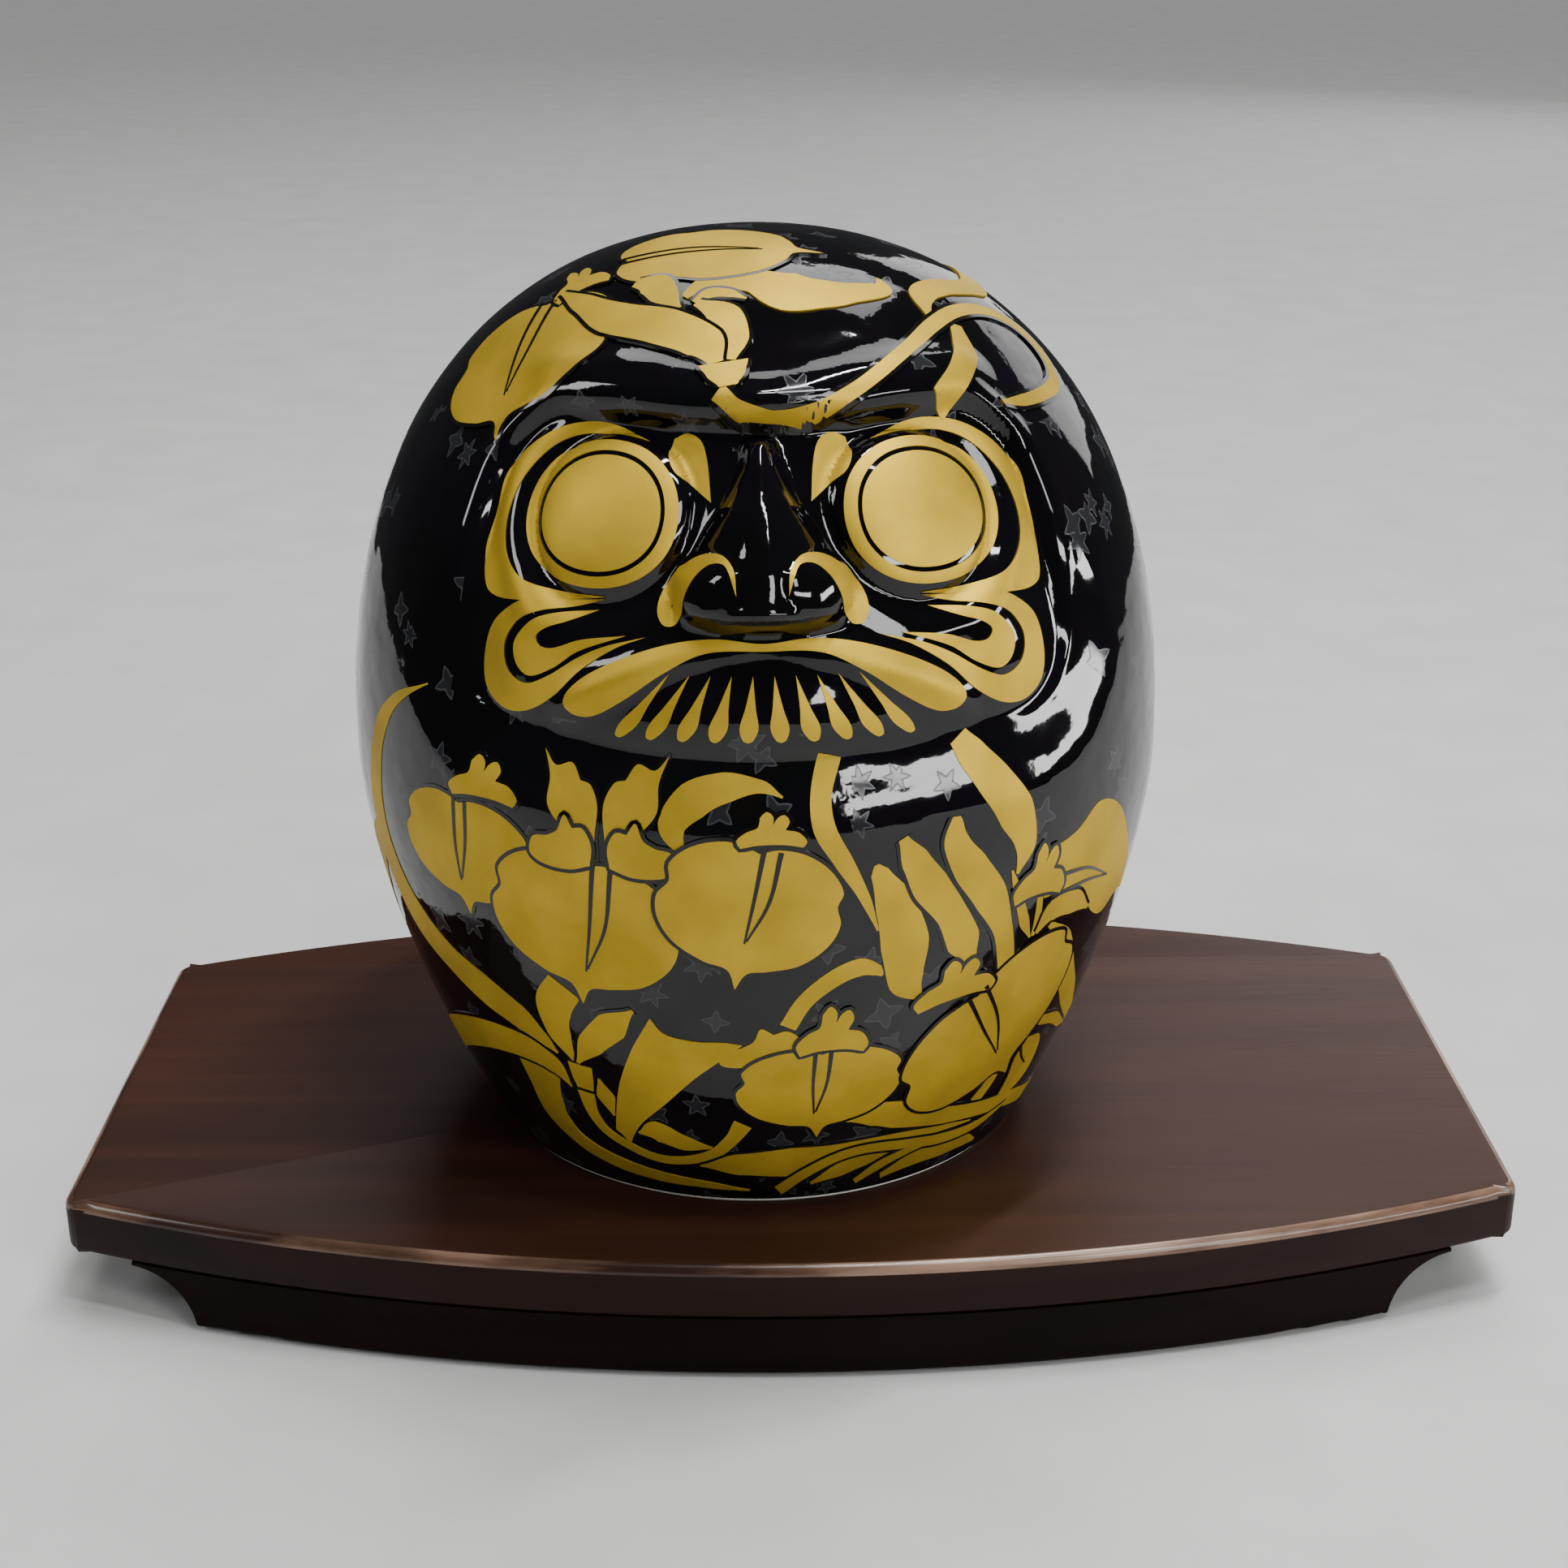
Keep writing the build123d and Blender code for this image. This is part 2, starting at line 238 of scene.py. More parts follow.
@dataclass(frozen=True)
class BlackGlaze(Finish):
    """Glossy black lustre glaze with pale star crystals under it."""

    name: str = "black_lustre_glaze"
    star_spacing: float = 9.0
    black: Colour = (0.0016, 0.0016, 0.0019)
    star_grey: Colour = (0.031, 0.032, 0.037)
    ripple: float = 0.30

    def dress(self, nodes: Nodes, shader: bpy.types.Node) -> None:
        """Sets colour with faint painted iridescent sheen patches, gloss and ripple."""
        uv = nodes.add("UVMap", uv_map="drawing").outputs[0]
        place = nodes.add("TexCoord").outputs["Object"]
        ripple = nodes.noise(place, 55.0, 2.0)
        fine = nodes.noise(place, 420.0, 2.0)
        star = self.stars(nodes, uv)
        curdle = nodes.noise(place, 150.0, 3.0)
        patches = nodes.ramp(nodes.noise(place, 26.0, 2.0), ((0.42, (0, 0, 0)), (0.66, (0.3, 0.3, 0.3))))
        height = nodes.math("ADD", ripple, nodes.math("MULTIPLY", curdle, patches))
        height = nodes.math("ADD", height, nodes.math("MULTIPLY", fine, 0.02))
        height = nodes.math("ADD", height, nodes.math("MULTIPLY", star, 0.02))
        bump = nodes.add("Bump", {"Strength": self.ripple, "Distance": 0.002, "Height": height})
        # Faint tinted patches in the base colour: painted iridescent sheen of the lustre.
        lustre = nodes.noise(place, 32.0, 3.0)
        painted_sheen_colour = nodes.ramp(
            lustre,
            (
                (0.46, self.black),
                (0.58, (0.0026, 0.0018, 0.0034)),
                (0.66, (0.0016, 0.0024, 0.0026)),
                (0.76, (0.0034, 0.0024, 0.0016)),
            ),
        )
        colour = nodes.blend(star, painted_sheen_colour, self.star_grey)
        rough = nodes.math("ADD", 0.045, nodes.math("MULTIPLY", star, 0.22))
        self.join(
            nodes,
            shader,
            Base_Color=colour,
            Roughness=rough,
            Normal=bump.outputs[0],
            IOR=1.46,
        )

    def stars(self, nodes: Nodes, uv: bpy.types.NodeSocket) -> bpy.types.NodeSocket:
        """Mask of scattered star crystals, 1 inside a star."""
        cells = nodes.add("TexVoronoi", {"Vector": uv, "Scale": 1 / self.star_spacing})
        cells.voronoi_dimensions = "2D"
        inner = {0: uv, 1: cells.outputs["Position"]}
        away = nodes.add("VectorMath", inner, operation="SUBTRACT").outputs[0]
        parts = nodes.add("SeparateXYZ", {0: away})
        angle = nodes.math("ARCTAN2", parts.outputs[1], parts.outputs[0])
        hue = nodes.add("SeparateColor", {0: cells.outputs["Color"]})
        arms = nodes.math("FLOOR", nodes.math("MULTIPLY_ADD", hue.outputs[1], 2.99, 4.0))
        swing = nodes.math("MULTIPLY", nodes.math("MULTIPLY", arms, 0.5), angle)
        swing = nodes.math("MULTIPLY_ADD", hue.outputs[0], 6.28, swing)
        dip = nodes.math("ABSOLUTE", nodes.math("SINE", swing))
        size = nodes.math("MULTIPLY_ADD", hue.outputs[0], 1.6, 2.7)
        reach = nodes.math("MULTIPLY", nodes.math("MULTIPLY_ADD", dip, -0.55, 1.0), size)
        distance = nodes.add("VectorMath", {0: away}, operation="LENGTH").outputs["Value"]
        depth = nodes.math("SUBTRACT", reach, distance)
        rim = nodes.math("LESS_THAN", nodes.math("ABSOLUTE", depth), 0.24)
        inside = nodes.math("MULTIPLY", nodes.math("GREATER_THAN", depth, 0.0), 0.4)
        star = nodes.math("MAXIMUM", rim, inside)
        chosen = nodes.math("GREATER_THAN", hue.outputs[2], 0.62)
        flat = nodes.add("SeparateXYZ", {0: uv})
        from_middle = nodes.math("ABSOLUTE", flat.outputs[0])
        from_nose = nodes.math("ABSOLUTE", nodes.math("SUBTRACT", flat.outputs[1], 146.0))
        beside = nodes.math("GREATER_THAN", from_middle, 68.0)
        clear = nodes.math("MAXIMUM", beside, nodes.math("GREATER_THAN", from_nose, 30.0))
        return nodes.math("MULTIPLY", nodes.math("MULTIPLY", star, chosen), clear)


@dataclass(frozen=True)
class SatinGold(Finish):
    """Fired satin gold, faintly streaked by the brush."""

    name: str = "satin_gold"
    colour: Colour = (0.50, 0.335, 0.030)

    def dress(self, nodes: Nodes, shader: bpy.types.Node) -> None:
        """Sets colour and a soft metal gloss."""
        place = nodes.add("TexCoord").outputs["Object"]
        cloud = nodes.noise(place, 60.0, 4.0)
        grain = nodes.noise(place, 2600.0, 2.0)
        light = tuple(min(1.0, c * 1.12) for c in self.colour)
        dark = tuple(c * 0.86 for c in self.colour)
        colour = nodes.ramp(cloud, ((0.35, dark), (0.65, light)))
        rough = nodes.math("MULTIPLY_ADD", grain, 0.12, 0.50)
        bump = nodes.add("Bump", {"Strength": 0.12, "Distance": 0.0002, "Height": grain})
        self.join(
            nodes,
            shader,
            Base_Color=colour,
            Metallic=0.75,
            Roughness=rough,
            Specular_IOR_Level=0.1,
            Normal=bump.outputs[0],
        )


@dataclass(frozen=True)
class BlackLine(Finish):
    """Plain glossy black between gold shapes."""

    name: str = "black_line"

    def dress(self, nodes: Nodes, shader: bpy.types.Node) -> None:
        """Sets a glossy black with a faint mottle."""
        place = nodes.add("TexCoord").outputs["Object"]
        mottle = nodes.noise(place, 300.0, 2.0)
        colour = nodes.ramp(mottle, ((0.3, (0.002, 0.002, 0.002)), (0.7, (0.006, 0.005, 0.004))))
        self.join(nodes, shader, Base_Color=colour, Roughness=0.12, IOR=1.45)


@dataclass(frozen=True)
class Bisque(Finish):
    """Unglazed white porcelain, as on a foot ring."""

    name: str = "bisque_foot"

    def dress(self, nodes: Nodes, shader: bpy.types.Node) -> None:
        """Sets a chalky off-white."""
        place = nodes.add("TexCoord").outputs["Object"]
        speck = nodes.noise(place, 900.0, 4.0)
        colour = nodes.ramp(speck, ((0.3, (0.42, 0.40, 0.37)), (0.7, (0.62, 0.60, 0.56))))
        bump = nodes.add("Bump", {"Strength": 0.3, "Distance": 0.0002, "Height": speck})
        self.join(nodes, shader, Base_Color=colour, Roughness=0.75, Normal=bump.outputs[0])


@dataclass(frozen=True)
class StainedWood(Finish):
    """Dark reddish-brown stained wood under satin lacquer, its grain along X."""

    name: str = "dark_lacquered_wood"
    # depth scales the wood's colour; values under 1 make darker copies of it that are painted shade.
    depth: float = 1.0
    gloss: float = 0.40
    ior: float = 1.33
    # Share and colour of a painted warm glow, laid in broad patches and strongest on the top.
    warmth: float = 0.42
    painted_glow_colour: Colour = (0.044, 0.0125, 0.0048)

    def dress(self, nodes: Nodes, shader: bpy.types.Node) -> None:
        """Sets grain colour, a painted warm glow in broad patches, painted shade through depth, satin
        gloss and pores.
        """
        place = nodes.add("TexCoord").outputs["Object"]
        along = nodes.add("Mapping", {"Vector": place, "Scale": (0.05, 1.0, 1.0)}).outputs[0]
        figure = nodes.noise(along, 90.0, 5.0, Distortion=0.6)
        pores = nodes.noise(along, 1400.0, 2.0)
        # Grain colours times depth: below 1 this is painted shade.
        dark = tuple(c * self.depth for c in (0.0100, 0.0034, 0.0022))
        light = tuple(c * self.depth for c in (0.0280, 0.0086, 0.0046))
        colour = nodes.ramp(figure, ((0.30, dark), (0.72, light)))
        # Painted warm light: broad noise patches mixed towards a warm colour.
        painted_glow_noise = nodes.noise(place, 9.0, 2.0)
        colour = nodes.blend(nodes.math("MULTIPLY", painted_glow_noise, self.warmth), colour, self.painted_glow_colour)
        rough = nodes.math("MULTIPLY_ADD", pores, 0.14, self.gloss)
        height = nodes.math("ADD", figure, nodes.math("MULTIPLY", pores, 0.5))
        bump = nodes.add("Bump", {"Strength": 0.08, "Distance": 0.0004, "Height": height})
        self.join(
            nodes,
            shader,
            Base_Color=colour,
            Roughness=rough,
            Normal=bump.outputs[0],
            IOR=self.ior,
        )


@dataclass(frozen=True)
class WornHighlitEdge(Finish):
    """The board's top edge, where the stain is rubbed thin, with a painted highlight where the lacquer
    shines.
    """

    name: str = "worn_highlit_wood_edge"

    def dress(self, nodes: Nodes, shader: bpy.types.Node) -> None:
        """Sets a broken paler line along the edge: partly wear, partly painted highlight."""
        place = nodes.add("TexCoord").outputs["Object"]
        along = nodes.add("Mapping", {"Vector": place, "Scale": (0.12, 0.12, 1.0)}).outputs[0]
        rubbed_and_highlit = nodes.noise(along, 260.0, 5.0)
        patches = nodes.noise(place, 22.0, 2.0)
        share = nodes.math("MULTIPLY", nodes.math("ADD", rubbed_and_highlit, patches), 0.5)
        # The pale stops are partly rubbed stain and partly painted highlight along the upward round.
        stops = (
            (0.42, (0.022, 0.010, 0.007)),
            (0.50, (0.085, 0.046, 0.030)),
            (0.60, (0.21, 0.13, 0.09)),
        )
        colour = nodes.ramp(share, stops)
        self.join(nodes, shader, Base_Color=colour, Roughness=0.22, IOR=1.45)


@dataclass(frozen=True)
class PlainWood(Finish):
    """Bare pale wood."""

    name: str = "bare_pale_wood"

    def dress(self, nodes: Nodes, shader: bpy.types.Node) -> None:
        """Sets a pale lengthwise grain."""
        place = nodes.add("TexCoord").outputs["Object"]
        along = nodes.add("Mapping", {"Vector": place, "Scale": (1.0, 1.0, 0.1)}).outputs[0]
        figure = nodes.noise(along, 700.0, 4.0)
        colour = nodes.ramp(figure, ((0.3, (0.36, 0.22, 0.11)), (0.7, (0.55, 0.38, 0.22))))
        self.join(nodes, shader, Base_Color=colour, Roughness=0.6)


@dataclass(frozen=True)
class PlatedSteel(Finish):
    """Zinc-plated steel."""

    name: str = "plated_steel"

    def dress(self, nodes: Nodes, shader: bpy.types.Node) -> None:
        """Sets a mottled bright metal."""
        place = nodes.add("TexCoord").outputs["Object"]
        mottle = nodes.noise(place, 1200.0, 3.0)
        colour = nodes.ramp(mottle, ((0.3, (0.38, 0.38, 0.37)), (0.7, (0.60, 0.60, 0.58))))
        rough = nodes.math("MULTIPLY_ADD", mottle, 0.2, 0.25)
        self.join(nodes, shader, Base_Color=colour, Metallic=1.0, Roughness=rough)


@dataclass(frozen=True)
class Felt(Finish):
    """Dark felt."""

    name: str = "dark_felt"

    def dress(self, nodes: Nodes, shader: bpy.types.Node) -> None:
        """Sets a matted dark fibre."""
        place = nodes.add("TexCoord").outputs["Object"]
        fibre = nodes.noise(place, 3000.0, 5.0)
        colour = nodes.ramp(fibre, ((0.3, (0.015, 0.015, 0.016)), (0.7, (0.05, 0.05, 0.052))))
        bump = nodes.add("Bump", {"Strength": 0.8, "Distance": 0.0003, "Height": fibre})
        self.join(nodes, shader, Base_Color=colour, Roughness=0.95, Normal=bump.outputs[0])


# ---- The doll's form ----
@dataclass
class FaceRelief:
    """Height of the face's relief over the plain round body, in millimetres.

    Places are girth-chart ones, measured from the face's own middle line.
    """

    depth: float = 4.4
    low: float = 112.0
    high: float = 175.4
    half_width: float = 70.0
    corner: float = 15.0
    edge: float = 3.0
    lip: float = 3.0
    eye: Point = (36.5, 156.0)
    eye_radius: float = 16.8
    eye_bulge: float = 3.1
    nose_top: float = 171.5
    nose_tip: float = 144.5
    nostril: Point = (12.0, 143.0)
    moustache: float = 133.4
    chin: float = 119.5
    cheek: Point = (51.0, 129.0)

    def outside(self, x: float, s: float) -> float:
        """Signed distance to the panel's rim, positive outside it."""
        lobes = 1.4 * hump(abs(x) - 40, 20)
        low = self.low + 2.0 * ease(abs(x) / self.half_width)
        high = self.high - 1.0 + lobes
        middle = (low + high) / 2
        dx = abs(x) - self.half_width + self.corner
        ds = abs(s - middle) - (high - low) / 2 + self.corner
        beyond = math.hypot(max(dx, 0.0), max(ds, 0.0))
        return beyond + min(max(dx, ds), 0.0) - self.corner

    def height(self, x: float, s: float, narrow: float) -> float:
        """Relief at a place.

        Args:
            x: distance along the girth from the face's middle.
            s: distance up the side from the foot.
            narrow: the body's radius there as a share of its largest.

        Returns:
            Millimetres outwards.
        """
        if abs(x) > 110 or not 80 < s < 215:
            return 0.0
        away = self.outside(x, s)
        inside = ease(0.5 - away / self.edge)
        lower = ease((150 - s) / 34)
        upper = ease((s - 158) / 12)
        bevel = self.lip * (0.45 + 0.55 * lower) * (1 - upper)
        reach = 7.0 + 10.0 * lower
        slope = 1 - ease(max(away, 0.0) / reach)
        relief = -bevel * slope - (self.depth - bevel) * inside
        relief += 0.8 * hump(away - 3.0, 2.4) * (1 - inside) * (1 - lower)
        brow = self.high + 5.4 + 2.2 * hump(abs(x) - 40, 22) - 1.2 * hump(x, 16)
        relief += 1.9 * hump(s - brow, 4.6) * ease((78 - abs(x)) / 16)
        if inside > 0:
            relief += self.features(x, s, narrow) * inside
        return relief

    def features(self, x: float, s: float, narrow: float) -> float:
        """Relief of eyes, nose, lip, cheeks and chin over the panel's floor."""
        side = abs(x)
        apart = math.hypot((side - self.eye[0]) * narrow, s - self.eye[1])
        relief = self.eye_bulge * max(0.0, 1 - (apart / self.eye_radius) ** 2) ** 0.6
        relief -= 0.8 * hump(apart - self.eye_radius - 1.2, 2.0)
        relief += 1.3 * hump(apart - self.eye_radius - 6.5, 4.0) * ease((side - 14) / 20)
        down = (self.nose_top - s) / (self.nose_top - self.nose_tip)
        along = min(1.0, max(0.0, down))
        fall = ease((s - self.nose_tip + 11.0) / 4.4) * ease((self.nose_top + 2 - s) / 4.0)
        half = 4.4 + 14.6 * along**1.3
        flank = (2.6 + 4.4 * along) * max(0.0, 1 - (x / half) ** 2)
        ridge = (1.2 + 2.2 * along) * hump(x, 4.0 + 4.6 * along)
        relief += (ridge + flank) * fall
        wing = math.hypot((side - self.nostril[0]) * narrow / 7.4, (s - self.nostril[1]) / 6.6)
        relief += 2.6 * max(0.0, 1 - wing**2) ** 0.8
        moustache = self.moustache - 12.5 * (side / 38.0) ** 1.7
        relief += 2.2 * hump(s - moustache, 4.2) * ease((46 - side) / 12)
        relief += 3.6 * hump(s - self.chin, 13.0) * hump(x, 42)
        relief += 2.2 * hump(side - self.cheek[0], 10) * hump(s - self.cheek[1], 12)
        return relief


@dataclass
class DollForm:
    """The doll's outer surface, and how a flat drawing is laid on it."""

    low: Vector
    high: Vector
    shy: float = 0.6
    waist: float = 84.0
    crown_power: float = 2.28
    flank_power: float = 1.65
    foot_taper: float = 0.302
    foot_rise: float = 1.7
    turn: float = 1.7
    skew: float = 1.2
    wobble: float = 0.16
    face: FaceRelief = field(default_factory=FaceRelief)

    def __post_init__(self) -> None:
        """Works out the axis and a table of the side's length against height."""
        self.axis = Vector(((self.low.x + self.high.x) / 2, (self.low.y + self.high.y) / 2, self.low.z))
        self.radius = (self.high.x - self.low.x) / 2 / MM - self.shy
        self.height = (self.high.z - self.low.z) / MM - self.shy
        steps = 1400
        self.heights = []
        for k in range(steps + 1):
            share = math.sin(k / steps * math.pi / 2)
            self.heights.append(self.foot_rise + (self.height - self.foot_rise) * share)
        self.lengths = [1.13 * self.foot_rise]
        self.radii = [self.radius_at(z) for z in self.heights]
        for k in range(steps):
            rise = self.heights[k + 1] - self.heights[k]
            out = self.radii[k + 1] - self.radii[k]
            self.lengths.append(self.lengths[-1] + math.hypot(rise, out))

    @property
    def top(self) -> float:
        """Length of the side from the foot to the top of the head."""
        return self.lengths[-1]

    def radius_at(self, z: float) -> float:
        """Radius of the plain round body at a height over the foot."""
        if z >= self.waist:
            reach = (z - self.waist) / (self.height - self.waist)
            power = self.crown_power
            return self.radius * max(0.0, 1 - reach**power) ** (1 / power)
        drop = (self.waist - z) / self.waist
        return self.radius * (1 - self.foot_taper * drop**self.flank_power)

    def side(self, s: float) -> tuple[float, float, float, float]:
        """Radius, height and outward direction of the side at a length up it."""
        k = min(max(bisect_right(self.lengths, s) - 1, 0), len(self.lengths) - 2)
        share = (s - self.lengths[k]) / (self.lengths[k + 1] - self.lengths[k])
        radius = self.radii[k] + share * (self.radii[k + 1] - self.radii[k])
        height = self.heights[k] + share * (self.heights[k + 1] - self.heights[k])
        first = max(k - 3, 0)
        last = min(k + 4, len(self.lengths) - 1)
        rise = self.heights[last] - self.heights[first]
        out = self.radii[last] - self.radii[first]
        long = math.hypot(rise, out)
        return radius, height, rise / long, -out / long

    def place(self, x: float, y: float, lift: float = 0.0, chart: Chart = Chart.GIRTH) -> Vector:
        """The point on the doll that a chart's point stands for.

        Args:
            x: across the chart, in millimetres.
            y: up the chart, in millimetres.
            lift: distance outwards from the glaze, in millimetres.
            chart: the chart that x and y belong to.

        Returns:
            The point in the object's frame, in metres.
        """
        if chart is Chart.CROWN:
            angle = math.atan2(x, -y)
            s = self.top - math.hypot(x, y)
        else:
            angle = x / self.radius
            s = y
        radius, height, outward, upward = self.side(s)
        across = angle * self.radius - self.turn
        across -= self.skew * max(-1.0, min(1.0, across / 66)) ** 2
        relief = self.face.height(across, s, radius / self.radius)
        spot = Vector((radius * math.sin(angle), -radius * math.cos(angle), height))
        fade = ease((s - 6) / 20)
        relief += self.wobble * fade * noise.noise(spot * 0.055)
        reach = radius + (relief + lift) * outward
        rise = height + (relief + lift) * upward
        rise = min(rise, self.height + lift)
        spot = Vector((reach * math.sin(angle), -reach * math.cos(angle), rise))
        return self.axis + spot * MM


@dataclass
class Sight:
    """Carries a drawing from the plain body onto its relief, as seen from one place.

    The face was drawn by an eye in front of it, so each point goes where the relief
    meets the line from that eye through the same point of the plain body.
    """

    form: DollForm
    eye: Vector

    def plain(self, x: float, y: float) -> Vector:
        """The point of the plain body that a girth-chart point stands for."""
        angle = x / self.form.radius
        radius, height, _, _ = self.form.side(y)
        spot = Vector((radius * math.sin(angle), -radius * math.cos(angle), height))
        return self.form.axis + spot * MM

    def carry(self, x: float, y: float) -> Point:
        """The chart point whose relief covers the given plain one."""
        aim = (self.plain(x, y) - self.eye).normalized()
        at = Vector((x, y))
        for _ in range(5):
            spot = self.form.place(at.x, at.y) - self.eye
            miss = aim * spot.dot(aim) - spot
            across = (self.plain(at.x + 0.5, at.y) - self.plain(at.x - 0.5, at.y)) / MM
            along = (self.plain(at.x, at.y + 0.5) - self.plain(at.x, at.y - 0.5)) / MM
            across -= aim * across.dot(aim)
            along -= aim * along.dot(aim)
            a, b, c = across.dot(across), across.dot(along), along.dot(along)
            d, e = across.dot(miss) / MM, along.dot(miss) / MM
            det = a * c - b * b
            at += 0.8 * Vector(((d * c - e * b) / det, (e * a - d * b) / det))
        return at.x, at.y


@dataclass
class DollBody:
    """The glazed porcelain body with its face, foot ring and underside."""

    form: DollForm
    face_half_angle: float = math.radians(62)
    face_steps: int = 230
    back_steps: int = 120
    face_band: tuple[float, float] = (98.0, 194.0)
    face_row: float = 0.8
    plain_row: float = 2.6
    foot_radius: float = 59.0
    foot_ring: float = 8.6
    foot_recess: float = 3.0
    vent_radius: float = 1.5
    head_from: float = 158.0

    def build(self) -> bpy.types.Object:
        """Makes the body and lets it stand for its CAD node."""
        mesh = bmesh.new()
        side = self.spin_side(mesh)
        for vert in side:
            self.press_relief(vert)
        self.close_foot(mesh)
        bmesh.ops.recalc_face_normals(mesh, faces=mesh.faces)
        self.lay_drawing_map(mesh)
        body = finish_piece("doll_glazed_body", mesh, BlackGlaze(), "doll")
        body.data.materials.append(Bisque().material())
        body.data.set_sharp_from_angle(angle=math.radians(50))
        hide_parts("doll_body")
        return body

    def rows(self) -> list[float]:
        """Lengths up the side of the rows of points, close together over the face."""
        low, high = self.face_band
        spans = (
            (self.form.lengths[0], low, self.plain_row),
            (low, high, self.face_row),
            (high, self.form.top, self.plain_row),
        )
        rows: list[float] = []
        for start, end, spacing in spans:
            count = round((end - start) / spacing)
            rows += [start + (end - start) * k / count for k in range(count)]
        return rows + [self.form.top]

    def spin_side(self, mesh: bmesh.types.BMesh) -> list[bmesh.types.BMVert]:
        """Spins the side's line round the axis, with finer steps over the face."""
        axis = self.form.axis
        start = -self.face_half_angle
        line = []
        for s in self.rows():
            radius, height, _, _ = self.form.side(s)
            spot = Vector((radius * math.sin(start), -radius * math.cos(start), height))
            line.append(mesh.verts.new(axis + spot * MM))
        edges = [mesh.edges.new(pair) for pair in zip(line, line[1:])]
        turn = {"cent": axis, "axis": (0, 0, 1), "dvec": (0, 0, 0)}
        front = 2 * self.face_half_angle
        spun = bmesh.ops.spin(mesh, geom=line + edges, angle=front, steps=self.face_steps, **turn)
        bmesh.ops.spin(
            mesh,
            geom=spun["geom_last"],
            angle=math.tau - front,
            steps=self.back_steps,
            **turn,
        )
        bmesh.ops.remove_doubles(mesh, verts=mesh.verts, dist=0.02 * MM)
        return list(mesh.verts)

    def press_relief(self, vert: bmesh.types.BMVert) -> None:
        """Moves a point of the plain side to its place in the relief."""
        spot = (vert.co - self.form.axis) / MM
        angle = math.atan2(spot.x, -spot.y)
        vert.co = self.form.place(angle * self.form.radius, self.length_at(spot.z))

    def length_at(self, height: float) -> float:
        """Length up the plain side at a height over the foot."""
        heights, lengths = self.form.heights, self.form.lengths
        k = min(max(bisect_right(heights, height) - 1, 0), len(heights) - 2)
        share = (height - heights[k]) / (heights[k + 1] - heights[k])
        return lengths[k] + share * (lengths[k + 1] - lengths[k])

    def close_foot(self, mesh: bmesh.types.BMesh) -> None:
        """Extrudes the lower rim into the foot ring, the recess and the blind vent."""
        rim = [edge for edge in mesh.edges if edge.is_boundary]
        ring_inside = self.foot_radius - self.foot_ring
        well = self.foot_recess + 4 * self.vent_radius
        stations = (
            (self.foot_radius + 0.9, self.form.foot_rise - 0.5, 0),
            (self.foot_radius, self.form.foot_rise - 0.2, 0),
            (self.foot_radius, 0.25, 1),
            (self.foot_radius - 0.35, 0.0, 1),
            (ring_inside, 0.0, 1),
            (ring_inside, self.foot_recess, 1),
            (self.vent_radius, self.foot_recess, 0),
            (self.vent_radius, well, 0),
        )
        for radius, height, finish in stations:
            grown = bmesh.ops.extrude_edge_only(mesh, edges=rim)["geom"]
            for item in grown:
                if isinstance(item, bmesh.types.BMVert):
                    flat = item.co - self.form.axis
                    flat.z = 0.0
                    item.co = self.form.axis + flat.normalized() * radius * MM
                    item.co.z = self.form.axis.z + height * MM
                elif isinstance(item, bmesh.types.BMFace):
                    item.material_index = finish
            rim = [e for e in grown if isinstance(e, bmesh.types.BMEdge) and e.is_boundary]
        bmesh.ops.contextual_create(mesh, geom=rim)

    def lay_drawing_map(self, mesh: bmesh.types.BMesh) -> None:
        """Adds a UV map in millimetres: across the girth and up the side, or over the head."""
        layer = mesh.loops.layers.uv.new("drawing")
        radius = self.form.radius
        for face in mesh.faces:
            middle = face.calc_center_median() - self.form.axis
            around = math.atan2(middle.x, -middle.y)
            over_head = middle.z / MM > self.head_from
            for loop in face.loops:
                spot = (loop.vert.co - self.form.axis) / MM
                angle = math.atan2(spot.x, -spot.y)
                angle += math.tau * round((around - angle) / math.tau)
                length = self.length_at(spot.z)
                if over_head:
                    reach = self.form.top - length
                    loop[layer].uv = (reach * math.sin(angle), 400 - reach * math.cos(angle))
                else:
                    loop[layer].uv = (angle * radius, length)


def finish_piece(
    name: str,
    mesh: bmesh.types.BMesh,
    finish: Finish,
    body: str,
) -> bpy.types.Object:
    """Turns a bmesh into a finished smooth piece that rides on a body.

    Args:
        name: the piece's name.
        mesh: the shape, in metres in the object's frame. It is freed.
        finish: the finish of its faces.
        body: the CAD body that it moves with.

    Returns:
        The new object.
    """
    data = bpy.data.meshes.new(name)
    for face in mesh.faces:
        face.smooth = True
    mesh.to_mesh(data)
    mesh.free()
    piece = bpy.data.objects.new(name, data)
    bpy.context.scene.collection.objects.link(piece)
    data.materials.append(finish.material())
    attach(piece, body)
    LOG.info("%s: %d faces", name, len(data.polygons))
    return piece


# ---- Painted decoration ----
@dataclass(frozen=True)
class Patch:
    """Where a drawing of unit size lies on a chart, in millimetres and degrees."""

    x: float
    y: float
    width: float
    height: float
    turn: float = 0.0
    flip: bool = False

    def put(self, points: Run) -> list[Point]:
        """The drawing's points in the chart."""
        cos, sin = math.cos(math.radians(self.turn)), math.sin(math.radians(self.turn))
        put = []
        for px, py in points:
            px *= -self.width if self.flip else self.width
            py *= self.height
            put.append((self.x + px * cos - py * sin, self.y + px * sin + py * cos))
        return put

    def put_all(self, runs: Iterable[Run]) -> list[list[Point]]:
        """Every run of a drawing in the chart."""
        return [self.put(run) for run in runs]


